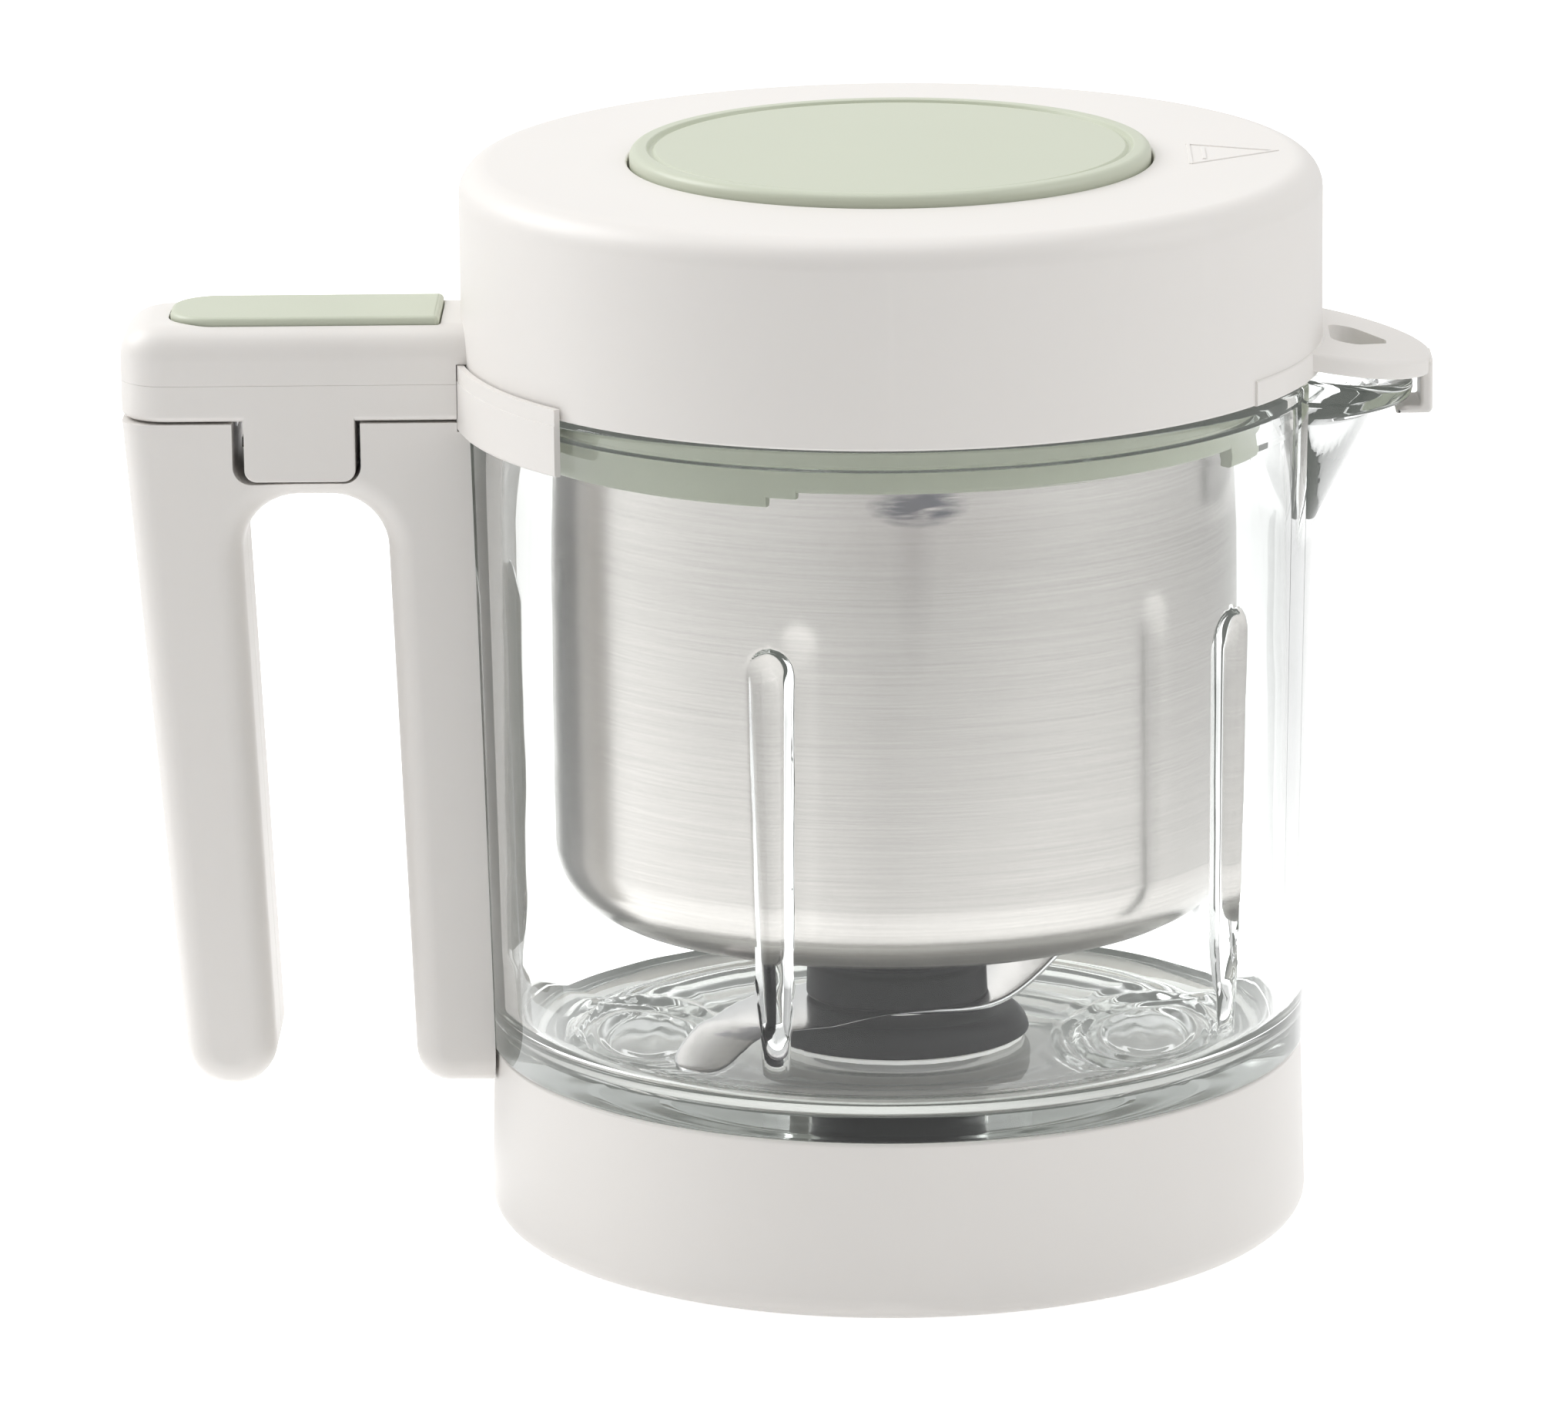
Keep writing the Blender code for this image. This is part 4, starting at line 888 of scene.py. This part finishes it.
def make_spring():
    """Return spring under the release button."""
    x, radius, wire = -98.0, 3.4, 0.45
    low, high = ARM_FLOOR + 2.9, BUTTON_TOP - 2.9
    turns, per_turn, sides = 6, 30, 8
    rings = []
    for i in range(turns * per_turn + 1):
        a = 2 * pi * i / per_turn
        share = i / (turns * per_turn)
        out = Vector((cos(a), sin(a), 0))
        middle = Vector((x, 0, low + (high - low) * share)) + out * radius
        rings.append([middle + (out * cos(b) + Vector((0, 0, sin(b)))) * wire
                      for b in [2 * pi * k / sides for k in range(sides)]])
    spring = new_piece("return_spring", lofted(rings, closed=False), BRIGHT, "lid",
                       ["button_spring"])
    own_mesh(spring)


def make_guard():
    """Spout guard: a band on the lid, a dished plate over the spout and a hook under its lip."""
    half_angle = radians(34.6)
    band_r, band_top = 80.45, 168.3
    band = new_piece("guard_band", sector([
        (79.0, LID_LOW.z, 0.2), (band_r, LID_LOW.z, 0.3), (band_r, band_top, 0.42),
        (79.0, band_top, 0.2)], -half_angle, half_angle, 60), WHITE, "lid")
    even_shading(band)
    centre, radius = 78.0, GUARD_TIP - 78.0
    plate_low, plate_high, fall, level_x = 164.4, 167.9, 0.1926, 80.0
    outline = []
    for i in range(61):
        a = radians(-88 + 176 * i / 60)
        outline.append((centre + radius * cos(a), radius * sin(a)))
    outline += [(74.0, radius), (74.0, -radius)]
    plate = soft_prism(outline, plate_low, plate_high, 0.5, 1.0, steps=4)
    for v in plate.verts:
        v.co.z -= fall * (v.co.x - level_x * MM)
    guard = new_piece("guard_plate", plate, WHITE, "lid", ["spout_guard"])
    cut(guard, clearance([(LID_R - 0.7, 150), (LID_R - 0.7, 180)]))
    x, inner = GUARD_TIP, GUARD_TIP - 2.3
    root = plate_high - fall * (x - level_x) - 0.7
    hook = rounded([(x, root, 0), (inner, root, 0), (inner, 154.8, 0.5), (x - 5.2, 154.8, 0.4),
                    (x - 6.8, 153.9, 0.2), (x - 6.8, 153.2, 0.3), (x, 153.2, 1.0)], 5)
    cut(guard, soft_prism(hook, -6.0, 6.0, 0.8, 0.8, axis="Y", steps=4), "UNION")
    hole = rounded([(81.3, -7.5, 2.8), (86.2, -7.5, 3.2), (91.9, -1.4, 1.6), (91.9, 1.4, 1.6),
                    (86.2, 7.5, 3.2), (81.3, 7.5, 2.8)], 8)
    cut(guard, plain_prism(hole, 155, 175))
    even_shading(guard)


# ---------------------------------------------------------------- carried-over pieces

def paint_packed():
    """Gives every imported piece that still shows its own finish."""
    slots = {row["node"]: row["material_slot"] for row in frame["record"]["subparts"]}
    for name, obj in frame["nodes"].items():
        material = SLOTS[slots[name]]
        if not obj.data.materials:
            obj.data.materials.append(material)
        for material_slot in obj.material_slots:
            material_slot.link = "OBJECT"
            material_slot.material = material


# ---------------------------------------------------------------- stage, light and camera

# Brightness of the studio round the bowl, by the angle from the front (-Y) towards the right (+X)
FLOOR_SHADES = [(-90, 0.98), (-59, 0.86), (-27, 0.82), (-11, 0.76), (0, 0.70), (17, 0.75),
                (33, 0.80), (47, 0.85), (64, 0.86), (83, 0.80), (104, 0.70), (131, 0.66),
                (152, 0.80), (165, 1.0), (195, 1.0), (208, 0.75), (223, 0.45), (240, 0.55),
                (256, 0.98)]
SCREEN_SHADES = [(-90, 1.0), (-59, 0.86), (-27, 0.68), (0, 0.58), (27, 0.65), (59, 0.73),
                 (90, 0.80), (125, 0.92), (150, 1.0), (210, 1.05), (235, 1.05)]


def surround_ramp(tree, coords, shades):
    """Grey level of the studio by direction round the bowl."""
    turn = tree.nodes.new("ShaderNodeTexGradient")
    turn.gradient_type = "RADIAL"
    tree.links.new(coords, turn.inputs["Vector"])
    ramp = tree.nodes.new("ShaderNodeValToRGB")
    tree.links.new(turn.outputs["Color"], ramp.inputs["Fac"])
    stops = sorted(((angle / 360 + 0.25) % 1, level) for angle, level in shades)
    elements = ramp.color_ramp.elements
    while len(elements) < len(stops):
        elements.new(0.5)
    for element, (place, level) in zip(elements, stops):
        element.position = place
        element.color = (level, level, level, 1)
    return ramp.outputs["Color"]


def make_stage():
    """Wide pale floor. Steel and glass see it with painted shade round the bowl, as by studio
    screens, and with a painted glow near the bowl.
    """
    bm = bmesh.new()
    bmesh.ops.create_grid(bm, x_segments=1, y_segments=1, size=6.0)
    mesh = bpy.data.meshes.new("floor")
    bm.to_mesh(mesh)
    bm.free()
    floor = add_object("floor", mesh)
    material, tree, shader = new_material("pale_floor")
    set_inputs(shader, {"Roughness": 0.9, "Specular IOR Level": 0.1})
    path = tree.nodes.new("ShaderNodeLightPath")
    plain = combined(tree, "MAXIMUM", path.outputs["Is Camera Ray"],
                     path.outputs["Is Diffuse Ray"])
    coords = object_coords(tree)
    # Painted shade: in reflections and through glass the floor takes the studio's grey levels round
    # the bowl
    shade = mixed(tree, plain, surround_ramp(tree, coords, FLOOR_SHADES), (0.93, 0.93, 0.93))
    tree.links.new(shade, shader.inputs["Base Color"])
    tree.links.new(shade, shader.inputs["Emission Color"])
    # Painted light: a glow on the floor near the bowl, seen only in reflections and through glass
    near = combined(tree, "MULTIPLY", blob(tree, coords, (0, 0, 0), (600, 600, 600)), 1.5)
    near = combined(tree, "MULTIPLY", near, combined(tree, "SUBTRACT", 1, plain))
    glow = combined(tree, "ADD", near, to_range(tree, path.outputs["Is Camera Ray"], 0.12, 0.7))
    tree.links.new(glow, shader.inputs["Emission Strength"])
    floor.data.materials.append(material)


def make_world():
    """Studio screens round the bowl, as bright as the shades say."""
    world = bpy.data.worlds.new("studio")
    bpy.context.scene.world = world
    world.use_nodes = True
    tree = world.node_tree
    sky = tree.nodes["Background"]
    coords = tree.nodes.new("ShaderNodeTexCoord").outputs["Generated"]
    tree.links.new(surround_ramp(tree, coords, SCREEN_SHADES), sky.inputs["Color"])
    sky.inputs["Strength"].default_value = 0.68


def softbox(name, place, width, height, power):
    """Rectangular lamp that faces the bowl, in metres and watts."""
    light = bpy.data.lights.new(name, "AREA")
    light.shape = "RECTANGLE"
    light.size = width
    light.size_y = height
    light.energy = power
    obj = add_object(name, light)
    obj.location = place
    target = Vector((AXIS_X * MM, 0, 0.1))
    obj.rotation_euler = (target - Vector(place)).to_track_quat("-Z", "Y").to_euler()


def make_lights():
    """Key light from behind on the left, a weak top light and a fill from the right."""
    softbox("key", (-1.25, 0.5, 1.1), 0.9, 0.9, 15)
    softbox("top", (0.1, 0.1, 1.7), 1.2, 1.2, 7)
    softbox("fill", (1.4, -0.3, 1.0), 0.8, 1.0, 5)


def make_camera():
    """Camera at the photograph's height, distance and angle."""
    distance, height = 1.6656, 0.5238
    pitch, yaw, roll = radians(14.35), radians(-0.715), radians(-0.657)
    forward = Vector((sin(yaw) * cos(pitch), cos(yaw) * cos(pitch), -sin(pitch)))
    right = forward.cross(Vector((0, 0, 1))).normalized()
    up = right.cross(forward)
    side = right * cos(roll) + up * sin(roll)
    top = up * cos(roll) - right * sin(roll)
    camera = bpy.data.cameras.new("camera")
    camera.sensor_width = 36.0
    camera.lens = 210.13
    camera.clip_end = 50
    obj = add_object("camera", camera)
    rotation = Matrix((side, top, -forward)).transposed()
    obj.matrix_world = Matrix.Translation((AXIS_X * MM, -distance, height)) @ rotation.to_4x4()
    bpy.context.scene.camera = obj
    bpy.context.scene.view_settings.view_transform = "Standard"


make_camera()
make_world()
make_lights()
make_stage()
paint_packed()
make_glass()
make_base()
make_hub()
make_blade()
make_basket()
make_lid()
make_cap()
make_grip()
make_collar()
make_arm()
make_button()
make_spring()
make_guard()
